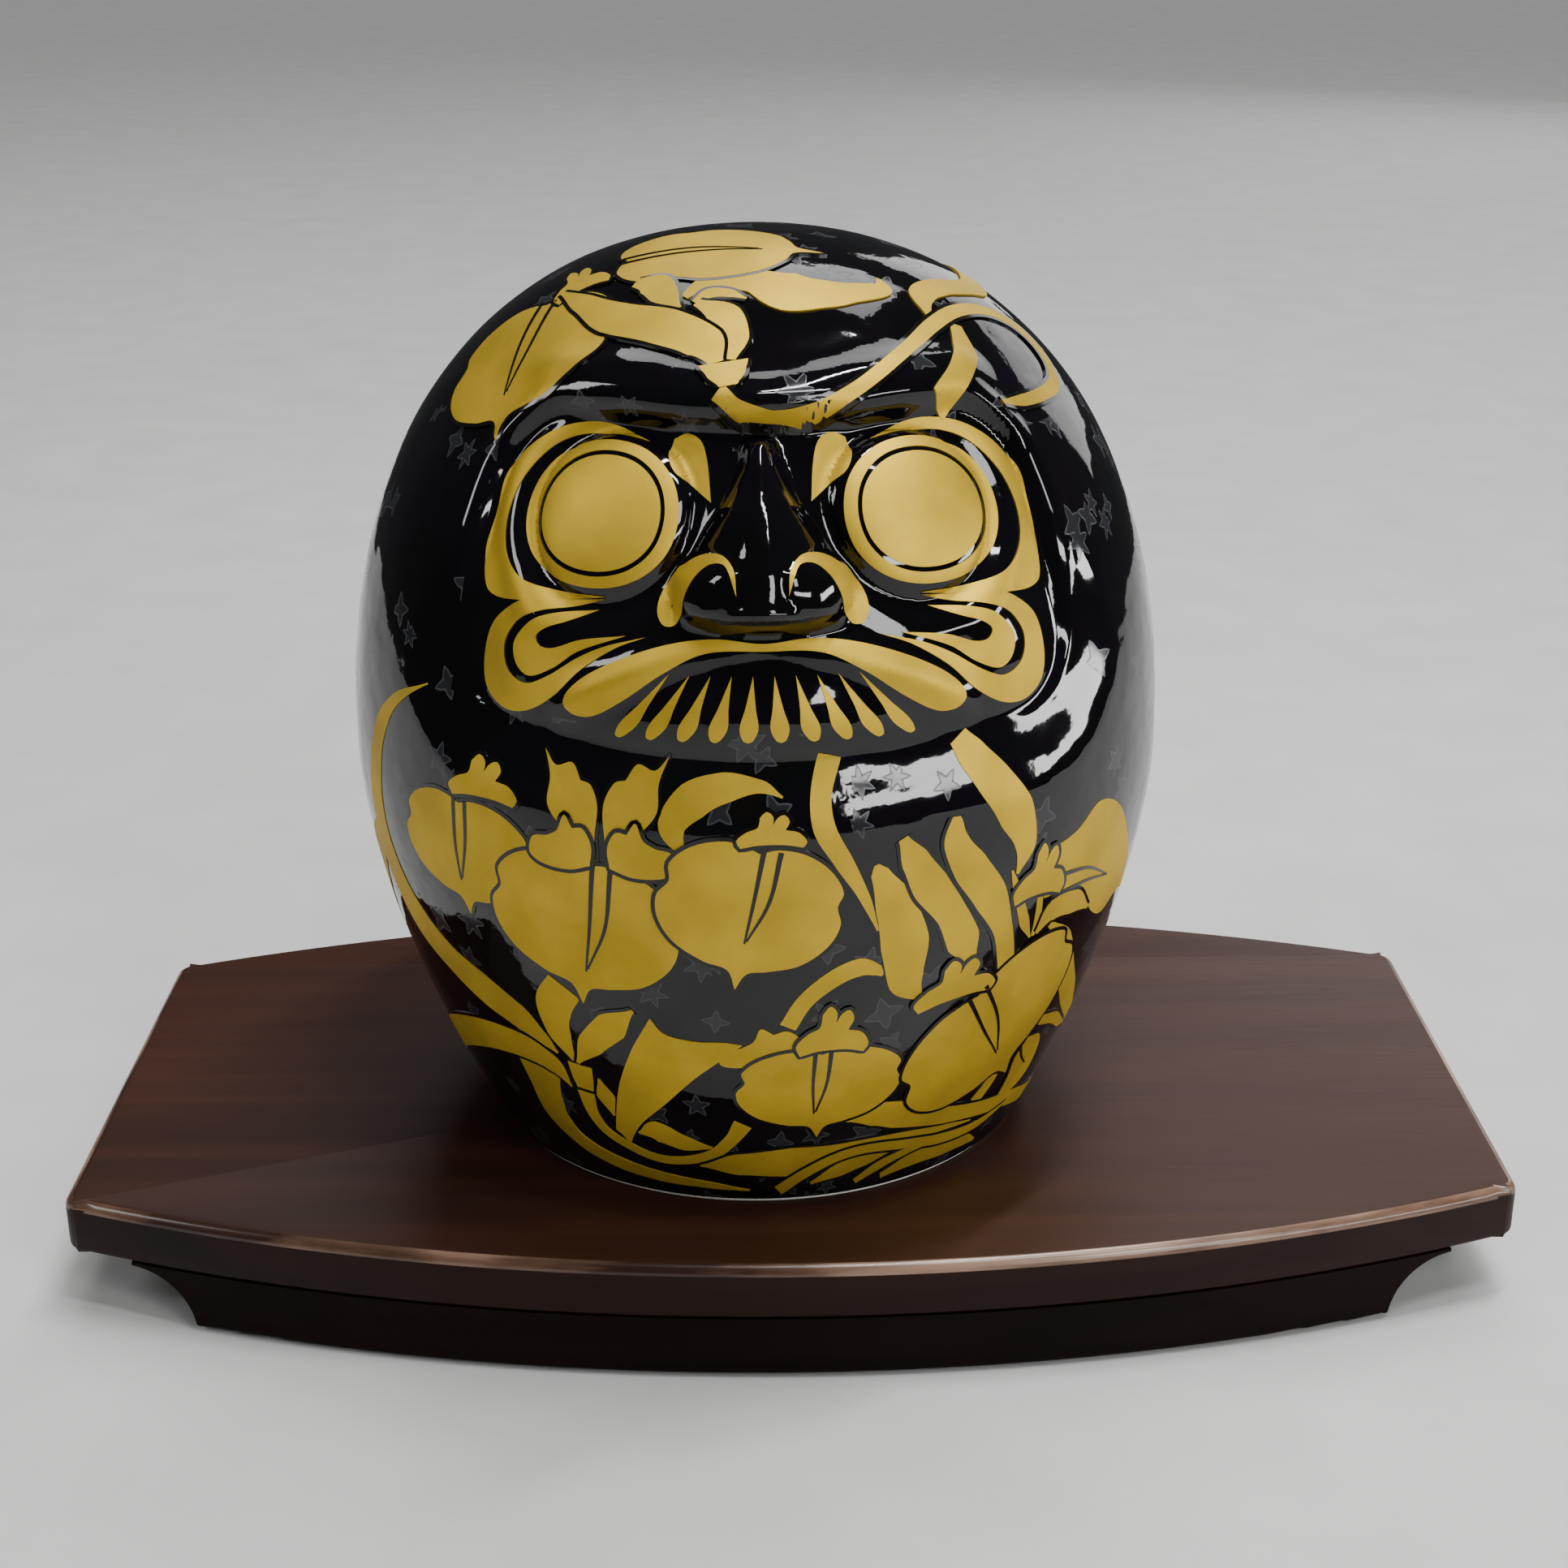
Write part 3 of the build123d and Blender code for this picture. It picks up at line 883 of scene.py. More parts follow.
@dataclass
class Painter:
    """Lays flat drawings on the doll as thin fired gold and black lines.

    Drawings of a higher layer lie over those of a lower one, and a thin black margin
    parts them.
    """

    form: DollForm
    name: str
    chart: Chart = Chart.GIRTH
    cell: float = 2.4
    step: float = 0.8
    first_lift: float = 0.12
    layer_lift: float = 0.08
    sink: float = 0.3
    margin: float = 0.8

    def __post_init__(self) -> None:
        """Starts the two meshes."""
        self.gold = bmesh.new()
        self.black = bmesh.new()

    def fill(self, *outlines: Sequence[Run], layer: int = 0) -> None:
        """Fills outlines with gold, any outline inside another being a hole in it.

        Args:
            outlines: each a list of smooth runs that meet at corners, or one closed run.
            layer: how many drawings lie under it.
        """
        flat = bmesh.new()
        rings = []
        for runs in outlines:
            ring: list[Point] = []
            for run in runs:
                ring += smooth_run(run, self.step, len(runs) == 1)
            rings.append(ring)
            verts = [flat.verts.new((x, y, 0.0)) for x, y in ring]
            for pair in zip(verts, verts[1:] + verts[:1]):
                flat.edges.new(pair)
        bmesh.ops.triangle_fill(flat, use_beauty=True, use_dissolve=False, edges=flat.edges)
        self.wrap(flat, self.gold, self.first_lift + layer * self.layer_lift)
        if layer:
            for ring in rings:
                self.edge_line(ring, layer)

    def edge_line(self, ring: Sequence[Point], layer: int) -> None:
        """Lays the black margin round a closed outline."""
        area = sum(a[0] * b[1] - b[0] * a[1] for a, b in zip(ring, ring[1:] + ring[:1]))
        side = -math.copysign(self.margin, area)
        widths = [(-0.15 * side, side)] * len(ring)
        self.band(ring, widths, self.black, (layer - 0.5) * self.layer_lift, closed=True)

    def leaf(self, spine: Sequence[Knot], layer: int = 0) -> None:
        """Lays a gold band along a line.

        Args:
            spine: the line's points, each with the band's width there.
            layer: how many drawings lie under it.
        """
        self.line_band(spine, self.gold, layer * self.layer_lift)
        if layer:
            wide = [(x, y, w + 2 * self.margin) for x, y, w in spine]
            self.line_band(wide, self.black, (layer - 0.5) * self.layer_lift)

    def stroke(self, spine: Run, width: float = 0.9, layer: int = 6, tip: float = 0.4) -> None:
        """Lays a black line that narrows towards its end."""
        count = len(spine) - 1
        taper = [(x, y, width + (tip - width) * k / count) for k, (x, y) in enumerate(spine)]
        self.line_band(taper, self.black, layer * self.layer_lift)

    def line_band(
        self,
        spine: Sequence[Knot],
        mesh: bmesh.types.BMesh,
        lift: float,
    ) -> None:
        """Samples a line with widths and lays the band."""
        line = smooth_run([(x, y) for x, y, _ in spine], self.step)
        reach = [0.0]
        for a, b in zip(spine, spine[1:]):
            reach.append(reach[-1] + max(1, round(math.dist(a[:2], b[:2]) / self.step)))
        widths = []
        for k in range(len(line)):
            i = min(bisect_right(reach, k) - 1, len(spine) - 2)
            share = ease((k - reach[i]) / (reach[i + 1] - reach[i]))
            share = 0.5 * share + 0.5 * (k - reach[i]) / (reach[i + 1] - reach[i])
            half = (spine[i][2] + share * (spine[i + 1][2] - spine[i][2])) / 2
            widths.append((half, -half))
        line.append(spine[-1][:2])
        widths.append((spine[-1][2] / 2, -spine[-1][2] / 2))
        self.band(line, widths, mesh, lift)

    def band(
        self,
        line: Sequence[Point],
        widths: Sequence[Point],
        mesh: bmesh.types.BMesh,
        lift: float,
        closed: bool = False,
    ) -> None:
        """Lays a strip between two offsets of a line.

        Args:
            line: the line's points.
            widths: for each point, the offsets of the strip's two edges to the line's left.
            mesh: the mesh that takes it.
            lift: its height over the lowest layer.
            closed: whether the line is a ring.
        """
        count = len(line)
        normals = []
        for k in range(count):
            ahead = line[(k + 1) % count] if closed or k < count - 1 else line[k]
            behind = line[k - 1] if closed or k else line[0]
            along = (Vector(ahead) - Vector(behind)).normalized()
            normals.append(Vector((-along.y, along.x, 0.0)))
        flat = bmesh.new()
        verts = []
        for spot, normal, width in zip(line, normals, widths):
            verts.append(flat.verts.new(Vector((*spot, 0.0)) + normal * width[0]))
        pairs = list(zip(verts, verts[1:] + verts[:1]))
        edges = [flat.edges.new(pair) for pair in (pairs if closed else pairs[:-1])]
        flat.verts.index_update()
        bmesh.ops.extrude_edge_only(flat, edges=edges)
        flat.verts.ensure_lookup_table()
        across: dict[int, bmesh.types.BMVert] = {}
        for k, vert in enumerate(verts):
            for edge in vert.link_edges:
                other = edge.other_vert(vert)
                if other not in verts:
                    across[k] = other
        for k, vert in across.items():
            vert.co = Vector((*line[k], 0.0)) + normals[k] * widths[k][1]
        self.wrap(flat, mesh, self.first_lift + lift)

    def wrap(self, flat: bmesh.types.BMesh, mesh: bmesh.types.BMesh, lift: float) -> None:
        """Cuts a flat shape into cells, gives it thickness and lays it on the doll."""
        for axis in (0, 1):
            reach = [vert.co[axis] for vert in flat.verts]
            first = math.ceil(min(reach) / self.cell)
            last = math.floor(max(reach) / self.cell)
            normal = Vector((1, 0, 0)) if axis == 0 else Vector((0, 1, 0))
            for k in range(first, last + 1):
                geom = list(flat.verts) + list(flat.edges) + list(flat.faces)
                place = normal * k * self.cell
                bmesh.ops.bisect_plane(flat, geom=geom, dist=1e-4, plane_co=place, plane_no=normal)
        for face in flat.faces:
            face.normal_update()
        down = [face for face in flat.faces if face.normal.z < 0]
        bmesh.ops.reverse_faces(flat, faces=down)
        grown = bmesh.ops.extrude_face_region(flat, geom=list(flat.faces))["geom"]
        upper = {item for item in grown if isinstance(item, bmesh.types.BMVert)}
        for vert in flat.verts:
            out = lift if vert in upper else -self.sink
            vert.co = self.form.place(vert.co.x, vert.co.y, out, self.chart)
        bmesh.ops.recalc_face_normals(flat, faces=flat.faces)
        scratch = bpy.data.meshes.new("scratch")
        flat.to_mesh(scratch)
        flat.free()
        mesh.from_mesh(scratch)
        bpy.data.meshes.remove(scratch)

    def finish(self) -> None:
        """Turns what was laid into a gold piece and a piece of black lines."""
        laid = (("gold_", self.gold, SatinGold()), ("lines_", self.black, BlackLine()))
        for prefix, mesh, finish in laid:
            if mesh.faces:
                piece = finish_piece(prefix + self.name, mesh, finish, "doll")
                piece.data.set_sharp_from_angle(angle=math.radians(38))
            else:
                mesh.free()


@dataclass
class Flower:
    """A painted iris, put together from a few plain petal shapes."""

    painter: Painter

    def fall(
        self,
        patch: Patch,
        layer: int = 2,
        slit: float = 0.72,
        shift: float = 0.0,
    ) -> None:
        """Lays a broad hanging petal with a parted middle.

        Args:
            patch: the middle of its top edge, full width, height down to the tip, and turn.
            layer: how many drawings lie under it.
            slit: the length of the parting as a share of the height.
            shift: how far the parting lies to the right, as a share of the width.
        """
        right = [
            (0.0, 0.0),
            (0.10, 0.045),
            (0.24, 0.035),
            (0.38, -0.05),
            (0.478, -0.20),
            (0.462, -0.31),
            (0.5, -0.44),
            (0.46, -0.61),
            (0.33, -0.78),
            (0.16, -0.86),
            (0.05, -0.90),
            (0.0, -1.04),
        ]
        left = [
            (0.0, -1.04),
            (-0.06, -0.89),
            (-0.20, -0.85),
            (-0.38, -0.74),
            (-0.48, -0.58),
            (-0.5, -0.42),
            (-0.445, -0.30),
            (-0.46, -0.18),
            (-0.36, -0.035),
            (-0.20, 0.045),
            (-0.08, 0.035),
            (0.0, 0.0),
        ]
        self.painter.fill(patch.put_all((right, left)), layer=layer)
        near = [(shift - 0.04, 0.04), (shift - 0.045, -0.5 * slit), (0.6 * shift - 0.03, -slit)]
        far = [
            (shift + 0.05, 0.03),
            (shift + 0.035, -0.5 * slit),
            (0.6 * shift - 0.02, -0.97 * slit),
        ]
        self.painter.stroke(patch.put(near), 1.0, layer + 1)
        self.painter.stroke(patch.put(far), 1.0, layer + 1)

    def crown(self, patch: Patch, layer: int = 3) -> None:
        """Lays a small ruffled petal over the hinge of a fall."""
        runs = (
            ((-0.46, 0.0), (-0.52, 0.22), (-0.36, 0.46), (-0.2, 0.58), (-0.17, 0.84)),
            ((-0.17, 0.84), (-0.07, 1.0), (0.03, 0.86), (0.02, 0.64)),
            ((0.02, 0.64), (0.1, 0.84), (0.2, 0.9), (0.27, 0.72), (0.2, 0.5)),
            ((0.2, 0.5), (0.4, 0.42), (0.52, 0.16), (0.46, 0.0)),
            ((0.46, 0.0), (0.2, 0.09), (-0.2, 0.09), (-0.46, 0.0)),
        )
        self.painter.fill(patch.put_all(runs), layer=layer)

    def standard(self, patch: Patch, layer: int = 1) -> None:
        """Lays an upright petal that leans out to a curled tip."""
        runs = (
            ((0.0, 0.0), (-0.09, 0.25), (-0.34, 0.40), (-0.5, 0.58), (-0.45, 0.80), (-0.52, 1.03)),
            ((-0.52, 1.03), (-0.36, 0.89), (-0.12, 0.91), (0.0, 0.76)),
            ((0.0, 0.76), (0.14, 0.72), (0.22, 0.54), (0.12, 0.26), (0.06, 0.0)),
            ((0.06, 0.0), (0.0, 0.0)),
        )
        self.painter.fill(patch.put_all(runs), layer=layer)

    def wing(self, patch: Patch, layer: int = 3) -> None:
        """Lays a small ruffled petal that points sideways from its base."""
        runs = (
            ((0.0, 0.0), (-0.35, -0.14), (-0.8, -0.1), (-1.0, 0.08), (-0.94, 0.42), (-0.7, 0.5)),
            ((-0.7, 0.5), (-0.52, 0.64), (-0.4, 0.98), (-0.27, 0.74)),
            ((-0.27, 0.74), (-0.1, 0.76), (0.03, 0.42), (0.0, 0.0)),
        )
        self.painter.fill(patch.put_all(runs), layer=layer)

    def bloom(self, x: float, y: float, size: float, turn: float = 0.0) -> None:
        """Lays a whole open flower seen from the front.

        Args:
            x: its hinge across the chart.
            y: its hinge up the chart.
            size: its width.
            turn: its lean in degrees.
        """
        for flip in (False, True):
            lean = -9 if flip else 9
            side = 1 if flip else -1
            tall = 0.59 if flip else 0.56
            self.standard(Patch(x + 0.045 * side * size, y, 0.36 * size, tall * size, lean, flip), 1)
            self.wing(Patch(x + 0.05 * side * size, y + 0.02 * size, 0.32 * size, 0.24 * size, 0, flip), 4)
        self.fall(Patch(x - 0.1 * size, y, size, 0.76 * size, turn), 2, 0.76, 0.1)


@dataclass
class Garden:
    """The irises, leaves and ribbons painted on the body."""

    form: DollForm

    def build(self) -> None:
        """Makes each group of the decoration as its own piece."""
        groups = (
            self.left_leaves,
            self.centre_iris,
            self.left_iris,
            self.upper_iris,
            self.lower_leaves,
            self.right_leaves,
            self.lower_iris,
            self.right_iris,
            self.side_bud,
            self.head_irises,
            self.head_ribbons,
            self.rear_garden,
        )
        for group in groups:
            on_head = group.__name__.startswith("head")
            chart = Chart.CROWN if on_head else Chart.GIRTH
            cell, lift = (1.1, 0.34) if on_head else (2.4, 0.12)
            painter = Painter(self.form, group.__name__, chart, cell=cell, first_lift=lift)
            group(painter)
            painter.finish()

    def left_leaves(self, painter: Painter) -> None:
        """Leaves that sweep round the left side down to the base."""
        painter.leaf(
            (
                (-74, 116.3, 0.3),
                (-85, 110, 2.6),
                (-92, 102, 5),
                (-95.5, 92, 6.5),
                (-96.5, 82, 8),
                (-94, 72, 10),
                (-86, 62.5, 10),
                (-75, 56, 8.5),
                (-65, 52, 9.5),
                (-56, 48, 8),
                (-50.5, 43.8, 4),
                (-47.5, 40.8, 0.5),
            )
        )
        painter.leaf(
            ((-94, 84, 1), (-104, 72, 9), (-116, 56, 12), (-129, 38, 9), (-138, 22, 4), (-142, 10, 1))
        )
        painter.leaf(
            (
                (-46.6, 31.5, 0.5),
                (-50, 36.8, 6),
                (-57, 39.3, 7.6),
                (-68, 38.5, 8),
                (-80, 35, 8),
                (-95, 28.5, 8),
                (-110, 20.5, 8),
                (-125, 12.5, 7),
                (-140, 6, 2),
            ),
            1,
        )
        painter.leaf(
            (
                (-55.6, 35, 12.4),
                (-56.4, 27, 9.6),
                (-56.3, 20, 8.6),
                (-51.5, 13.4, 5.6),
                (-43, 9.6, 4.6),
                (-30, 7.2, 3.6),
                (-15, 6, 2.4),
                (-3, 4.6, 0.5),
            )
        )

    def centre_iris(self, painter: Painter) -> None:
        """The large open iris left of the middle, on its stem."""
        flower = Flower(painter)
        painter.leaf(((-43.2, 40, 1.4), (-45.4, 47, 6.5), (-45, 54, 8.6), (-41, 60, 8)), 0)
        painter.leaf(((-42.4, 39.6, 0.8), (-37.5, 46, 6), (-31.5, 52, 7), (-26, 57, 0.8)), 1)
        flower.bloom(-29.6, 88.4, 40, -6)
        painter.leaf(((-42.2, 39, 6.2), (-42.5, 35, 5.6), (-42.7, 31.8, 4.4)), 0)
        painter.leaf(
            (
                (-42.9, 30.8, 4.6),
                (-43, 25, 3.6),
                (-41, 20, 3),
                (-36, 16.5, 2.8),
                (-28, 13.6, 2.6),
                (-20, 14, 2.6),
                (-12, 17, 3),
                (-7, 22, 3.5),
                (-4, 27, 4.6),
            )
        )
        painter.leaf(((-38, 36, 0.6), (-37.4, 31, 5), (-36.6, 25.4, 0.6)))

    def left_iris(self, painter: Painter) -> None:
        """The small iris at the left."""
        flower = Flower(painter)
        flower.fall(Patch(-62.3, 95.5, 36, 23), 1)
        flower.crown(Patch(-56, 97.4, 17, 8.8, 3), 2)

    def upper_iris(self, painter: Painter) -> None:
        """The iris right of the large one."""
        flower = Flower(painter)
        painter.leaf(
            (
                (-13.5, 92.5, 1), (-15.6, 98.6, 5.4), (-12, 103.3, 7), (-6, 105.8, 5.6),
                (1, 106, 2.4), (5, 104, 0.4),
            ),
        )
        flower.fall(Patch(0.6, 93.8, 35, 28.5, -10), 5, 0.66, 0.06)
        flower.crown(Patch(2.8, 94.9, 12.5, 6.8), 6)

    def lower_leaves(self, painter: Painter) -> None:
        """The broad leaf and the blades along the base."""
        runs = (
            ((-37.4, 21), (-33, 35), (-28, 46), (-24.6, 52), (-22.5, 55.6)),
            ((-22.5, 55.6), (-20, 52), (-14, 50.6), (-7, 50.6), (-3.4, 50)),
            ((-3.4, 50), (-9, 45), (-14.5, 40), (-22, 32), (-29, 25), (-32, 21), (-34.5, 16.6)),
            ((-34.5, 16.6), (-35.6, 19), (-37.4, 21)),
        )
        painter.fill(runs)
        painter.leaf(((-31, 21.2, 0.6), (-26, 22.6, 6.6), (-19.5, 20, 5), (-12, 19, 0.6)))
        painter.leaf(
            (
                (-16, 12.8, 0.5),
                (-6, 13.8, 7),
                (8, 14.4, 9.6),
                (22, 15.8, 6.6),
                (36, 17.4, 3.4),
                (52, 16, 1.8),
                (62, 14.5, 0.5),
            ),
            1,
        )
        painter.leaf(
            (
                (5, 4.6, 3.5),
                (12, 10.2, 3.2),
                (20, 14.6, 3),
                (28, 16, 2.8),
                (40, 14.6, 3),
                (52, 12.4, 3.4),
                (66, 11.5, 3),
                (78, 13.5, 0.8),
            ),
            2,
        )
        painter.leaf(((14, 6.4, 1), (22, 10.2, 5), (29, 12.2, 4), (36, 13.6, 0.6)), 1)
        painter.leaf(((27, 5, 2), (33, 9, 3.2), (40, 11.6, 2.6), (46, 12, 0.6)), 2)
        painter.leaf(((35, 5, 2), (44, 8, 5), (55, 8, 5.4), (64, 7, 4), (70, 5, 1)), 1)
        painter.leaf(
            (
                (21, 26.3, 0.5),
                (28, 27, 7),
                (35, 25.3, 8),
                (45, 21.8, 5.5),
                (60, 18.3, 4.6),
                (78, 14.5, 5),
                (96, 9, 5),
                (115, 4.8, 2.5),
            ),
            1,
        )
        painter.leaf(((46, 28, 4), (49, 26.4, 4)))
        painter.leaf(((64, 31, 4), (62.4, 25, 4), (60, 21, 4.4)))

    def right_leaves(self, painter: Painter) -> None:
        """The upright blades and the stems at the right."""
        painter.leaf(
            (
                (23.2, 76, 0.5), (20, 84, 2.2), (16, 91.5, 3.6), (12.6, 98, 4.2), (12.2, 104, 4),
                (14.2, 111.4, 4.6),
            ),
        )
        painter.leaf(
            (
                (53.4, 82, 0.8), (55, 88, 5.5), (52.5, 95, 8.5), (48, 102, 8), (43.6, 108, 6.6),
                (41, 111.8, 4.4),
            ),
        )
        painter.leaf(
            (
                (6, 54.5, 3.6), (9.5, 61, 3.6), (15, 66, 4), (20, 68, 4.2), (23.6, 66.8, 2.6),
                (24.8, 65.4, 0.5),
            ),
        )
        painter.leaf(
            (
                (66, 66.6, 1.5),
                (73, 60.5, 4.5),
                (79, 50.5, 6),
                (86, 42, 6.5),
                (95, 33.5, 4.6),
                (105, 26, 4.6),
                (116, 20.5, 4.6),
                (130, 17, 6),
                (146, 16, 7),
                (160, 20, 1),
            )
        )
        painter.leaf(((75.6, 38.4, 2.6), (84, 35.4, 3), (92, 30.6, 2.4), (98, 28, 0.5)), 1)
        runs = (
            ((72.6, 35), (79, 33), (82.6, 26), (82, 20), (76, 17.2), (70.4, 18)),
            ((70.4, 18), (71, 24), (70.2, 30), (72.6, 35)),
        )
        painter.fill(runs, layer=1)
        painter.stroke(((70.5, 33), (73.5, 29), (77.4, 25.6)), 1.0, 2)

    def lower_iris(self, painter: Painter) -> None:
        """The low iris in the middle."""
        flower = Flower(painter)
        flower.wing(Patch(9, 47.6, 17.5, 8.4, 12), 0)
        flower.fall(Patch(13.6, 46.9, 38, 23.5, 1), 2)
        flower.crown(Patch(15.6, 46.8, 15, 12.6), 3)

    def right_iris(self, painter: Painter) -> None:
        """The large tilted iris at the lower right, with its tall petals."""
        flower = Flower(painter)
        painter.leaf(
            (
                (34.4, 57.4, 0.8), (30.2, 63, 7.5), (29, 72, 10), (26.4, 81, 8), (23, 88.4, 3.6),
                (22.4, 90, 1),
            ),
        )
        painter.leaf(
            (
                (44.4, 65, 3), (42, 70, 7.4), (38.4, 77, 6.4), (33.4, 84, 7.4), (30, 90, 5.6),
                (27.6, 94.6, 2),
            ),
            1,
        )
        painter.leaf(
            (
                (54.4, 61, 4.4), (51.6, 70, 4.6), (47, 79, 7.4), (42, 86, 7.4), (38.6, 92, 5.4),
                (38.6, 97.2, 1.6),
            ),
            2,
        )
        painter.leaf(((60, 65.5, 0.5), (57.4, 70, 2.6), (53.6, 79, 1.8), (52, 83, 0.5)))
        flower.fall(Patch(48.5, 54.8, 50, 33, 35), 3, 0.68)
        flower.crown(Patch(42.5, 55, 19, 11, 5), 4)

    def side_bud(self, painter: Painter) -> None:
        """The half-open iris that turns away at the right."""
        flower = Flower(painter)
        petal = (
            ((62, 84.6), (70, 86.2), (78, 90), (86.5, 86.6), (95, 77), (101, 68), (103, 61)),
            ((103, 61), (97, 62.6), (89, 60.6), (82, 64), (77, 70), (69, 73.4), (62, 74)),
            ((62, 74), (60.6, 79), (62, 84.6)),
        )
        painter.fill(petal, layer=0)
        painter.stroke(((66, 78), (76, 76.2), (86, 71)), 1.0, 2)
        painter.stroke(((64, 73.6), (76, 73.2), (86, 71)), 1.0, 2)
        painter.leaf(((61.6, 66, 1), (65.6, 70, 5.4), (73, 69.4, 5.4), (80, 65.6, 0.8)), 1)
        painter.leaf(((60.8, 75, 1.6), (61.2, 70, 1.8), (60.8, 65.6, 1)), 0)
        flower.crown(Patch(60, 74.4, 14, 12.4, -4), 3)

    def head_irises(self, painter: Painter) -> None:
        """The irises that lie over the forehead and the crown."""
        flower = Flower(painter)
        flower.fall(Patch(-41.6, -21.6, 40, 33, -24), 1)
        flower.crown(Patch(-33.4, -23.6, 11.6, 13.4, 10), 2)
        painter.leaf(
            (
                (-13, -36, 2), (-8, -32, 5), (0, -32, 8), (7, -35, 13), (14, -34.6, 9),
                (20, -32.4, 6), (25.4, -28.6, 4.4), (24.6, -25, 0.8),
            ),
        )
        painter.leaf(((-11, -38.4, 1.4), (-8, -36, 3.2), (-4.5, -36.4, 2.6), (-1, -38.3, 0.4)), 1)
        flower.fall(Patch(-24.4, -15.4, 28, 37, 86), 1)
        painter.leaf(((-14, -39.4, 1), (-17, -34, 6), (-19, -29.6, 7), (-22.6, -27.4, 3)), 2)
        painter.leaf(
            (
                (-38, -20, 1), (-33, -29, 5), (-27, -37.4, 8.4), (-17, -44, 9.4), (-9.4, -50, 8.4),
                (-7, -55.4, 3),
            ),
            3,
        )
        painter.leaf(((-10.6, -38.6, 2), (-5.4, -43, 7), (-3.6, -49, 6.2), (-4.2, -54.6, 2)), 2)
        painter.leaf(((-5.6, -55.4, 9.8), (-5, -59, 7.4), (-4.6, -61.8, 3.6)), 4)

    def head_ribbons(self, painter: Painter) -> None:
        """The stem and ribbons that wind over the head."""
        painter.leaf(((39.2, -54.0, 5.6), (41.6, -47, 5.2), (43, -38, 5.4), (41, -31, 3)))
        painter.leaf(
            (
                (10, 88, 1),
                (24, 66, 7),
                (36, 42, 8),
                (44, 20, 6.6),
                (46.5, -3, 6.4),
                (43, -11, 5),
                (37, -19, 5.4),
                (33.6, -26, 5.4),
                (35.4, -33, 1),
            )
        )
        painter.leaf(
            (
                (-6.8, -62.8, 3.6),
                (-3, -65.8, 2.6),
                (4, -67, 1.8),
                (12, -65.4, 2.2),
                (19, -61, 2.6),
                (25, -54.5, 2.8),
                (31, -45, 3),
                (36, -35, 3.2),
                (41, -26, 3.2),
                (47, -18.5, 3.2),
                (54, -13.8, 3.6),
                (60.6, -13.4, 4.2),
                (65.6, -17.6, 3.8),
                (66.6, -24, 3.2),
                (63, -33, 2.8),
                (58.4, -40, 2.6),
                (52.6, -46, 1.0),
            ),
            2,
        )

    def rear_garden(self, painter: Painter) -> None:
        """A quieter spray of irises and leaves round the back."""
        flower = Flower(painter)
        painter.leaf(
            (
                (176, 30, 1), (190, 46, 9), (206, 66, 10), (216, 90, 8), (214, 112, 5),
                (204, 128, 0.6),
            ),
        )
        painter.leaf(((262, 12, 4), (258, 30, 4), (250, 46, 3.4), (246, 62, 2.8), (244.6, 76, 2.6)))
        painter.leaf(((250, 40, 1), (262, 56, 8), (284, 72, 10), (306, 78, 8), (322, 74, 0.8)), 1)
        painter.leaf(((300, 16, 1), (310, 32, 8), (316, 52, 9), (330, 74, 7), (336, 92, 0.8)))
        painter.leaf(
            (
                (150, 8, 1), (180, 12, 7), (215, 10, 8), (250, 13, 8), (290, 9, 7), (330, 12, 6),
                (372, 8, 1),
            ),
            1,
        )
        flower.bloom(248, 98, 38, 4)
        flower.fall(Patch(296, 112, 32, 22, -6), 2)
        flower.crown(Patch(297, 113, 15, 8), 3)
        flower.fall(Patch(190, 92, 32, 24, 12), 2)
        flower.crown(Patch(189, 93, 14, 8), 3)


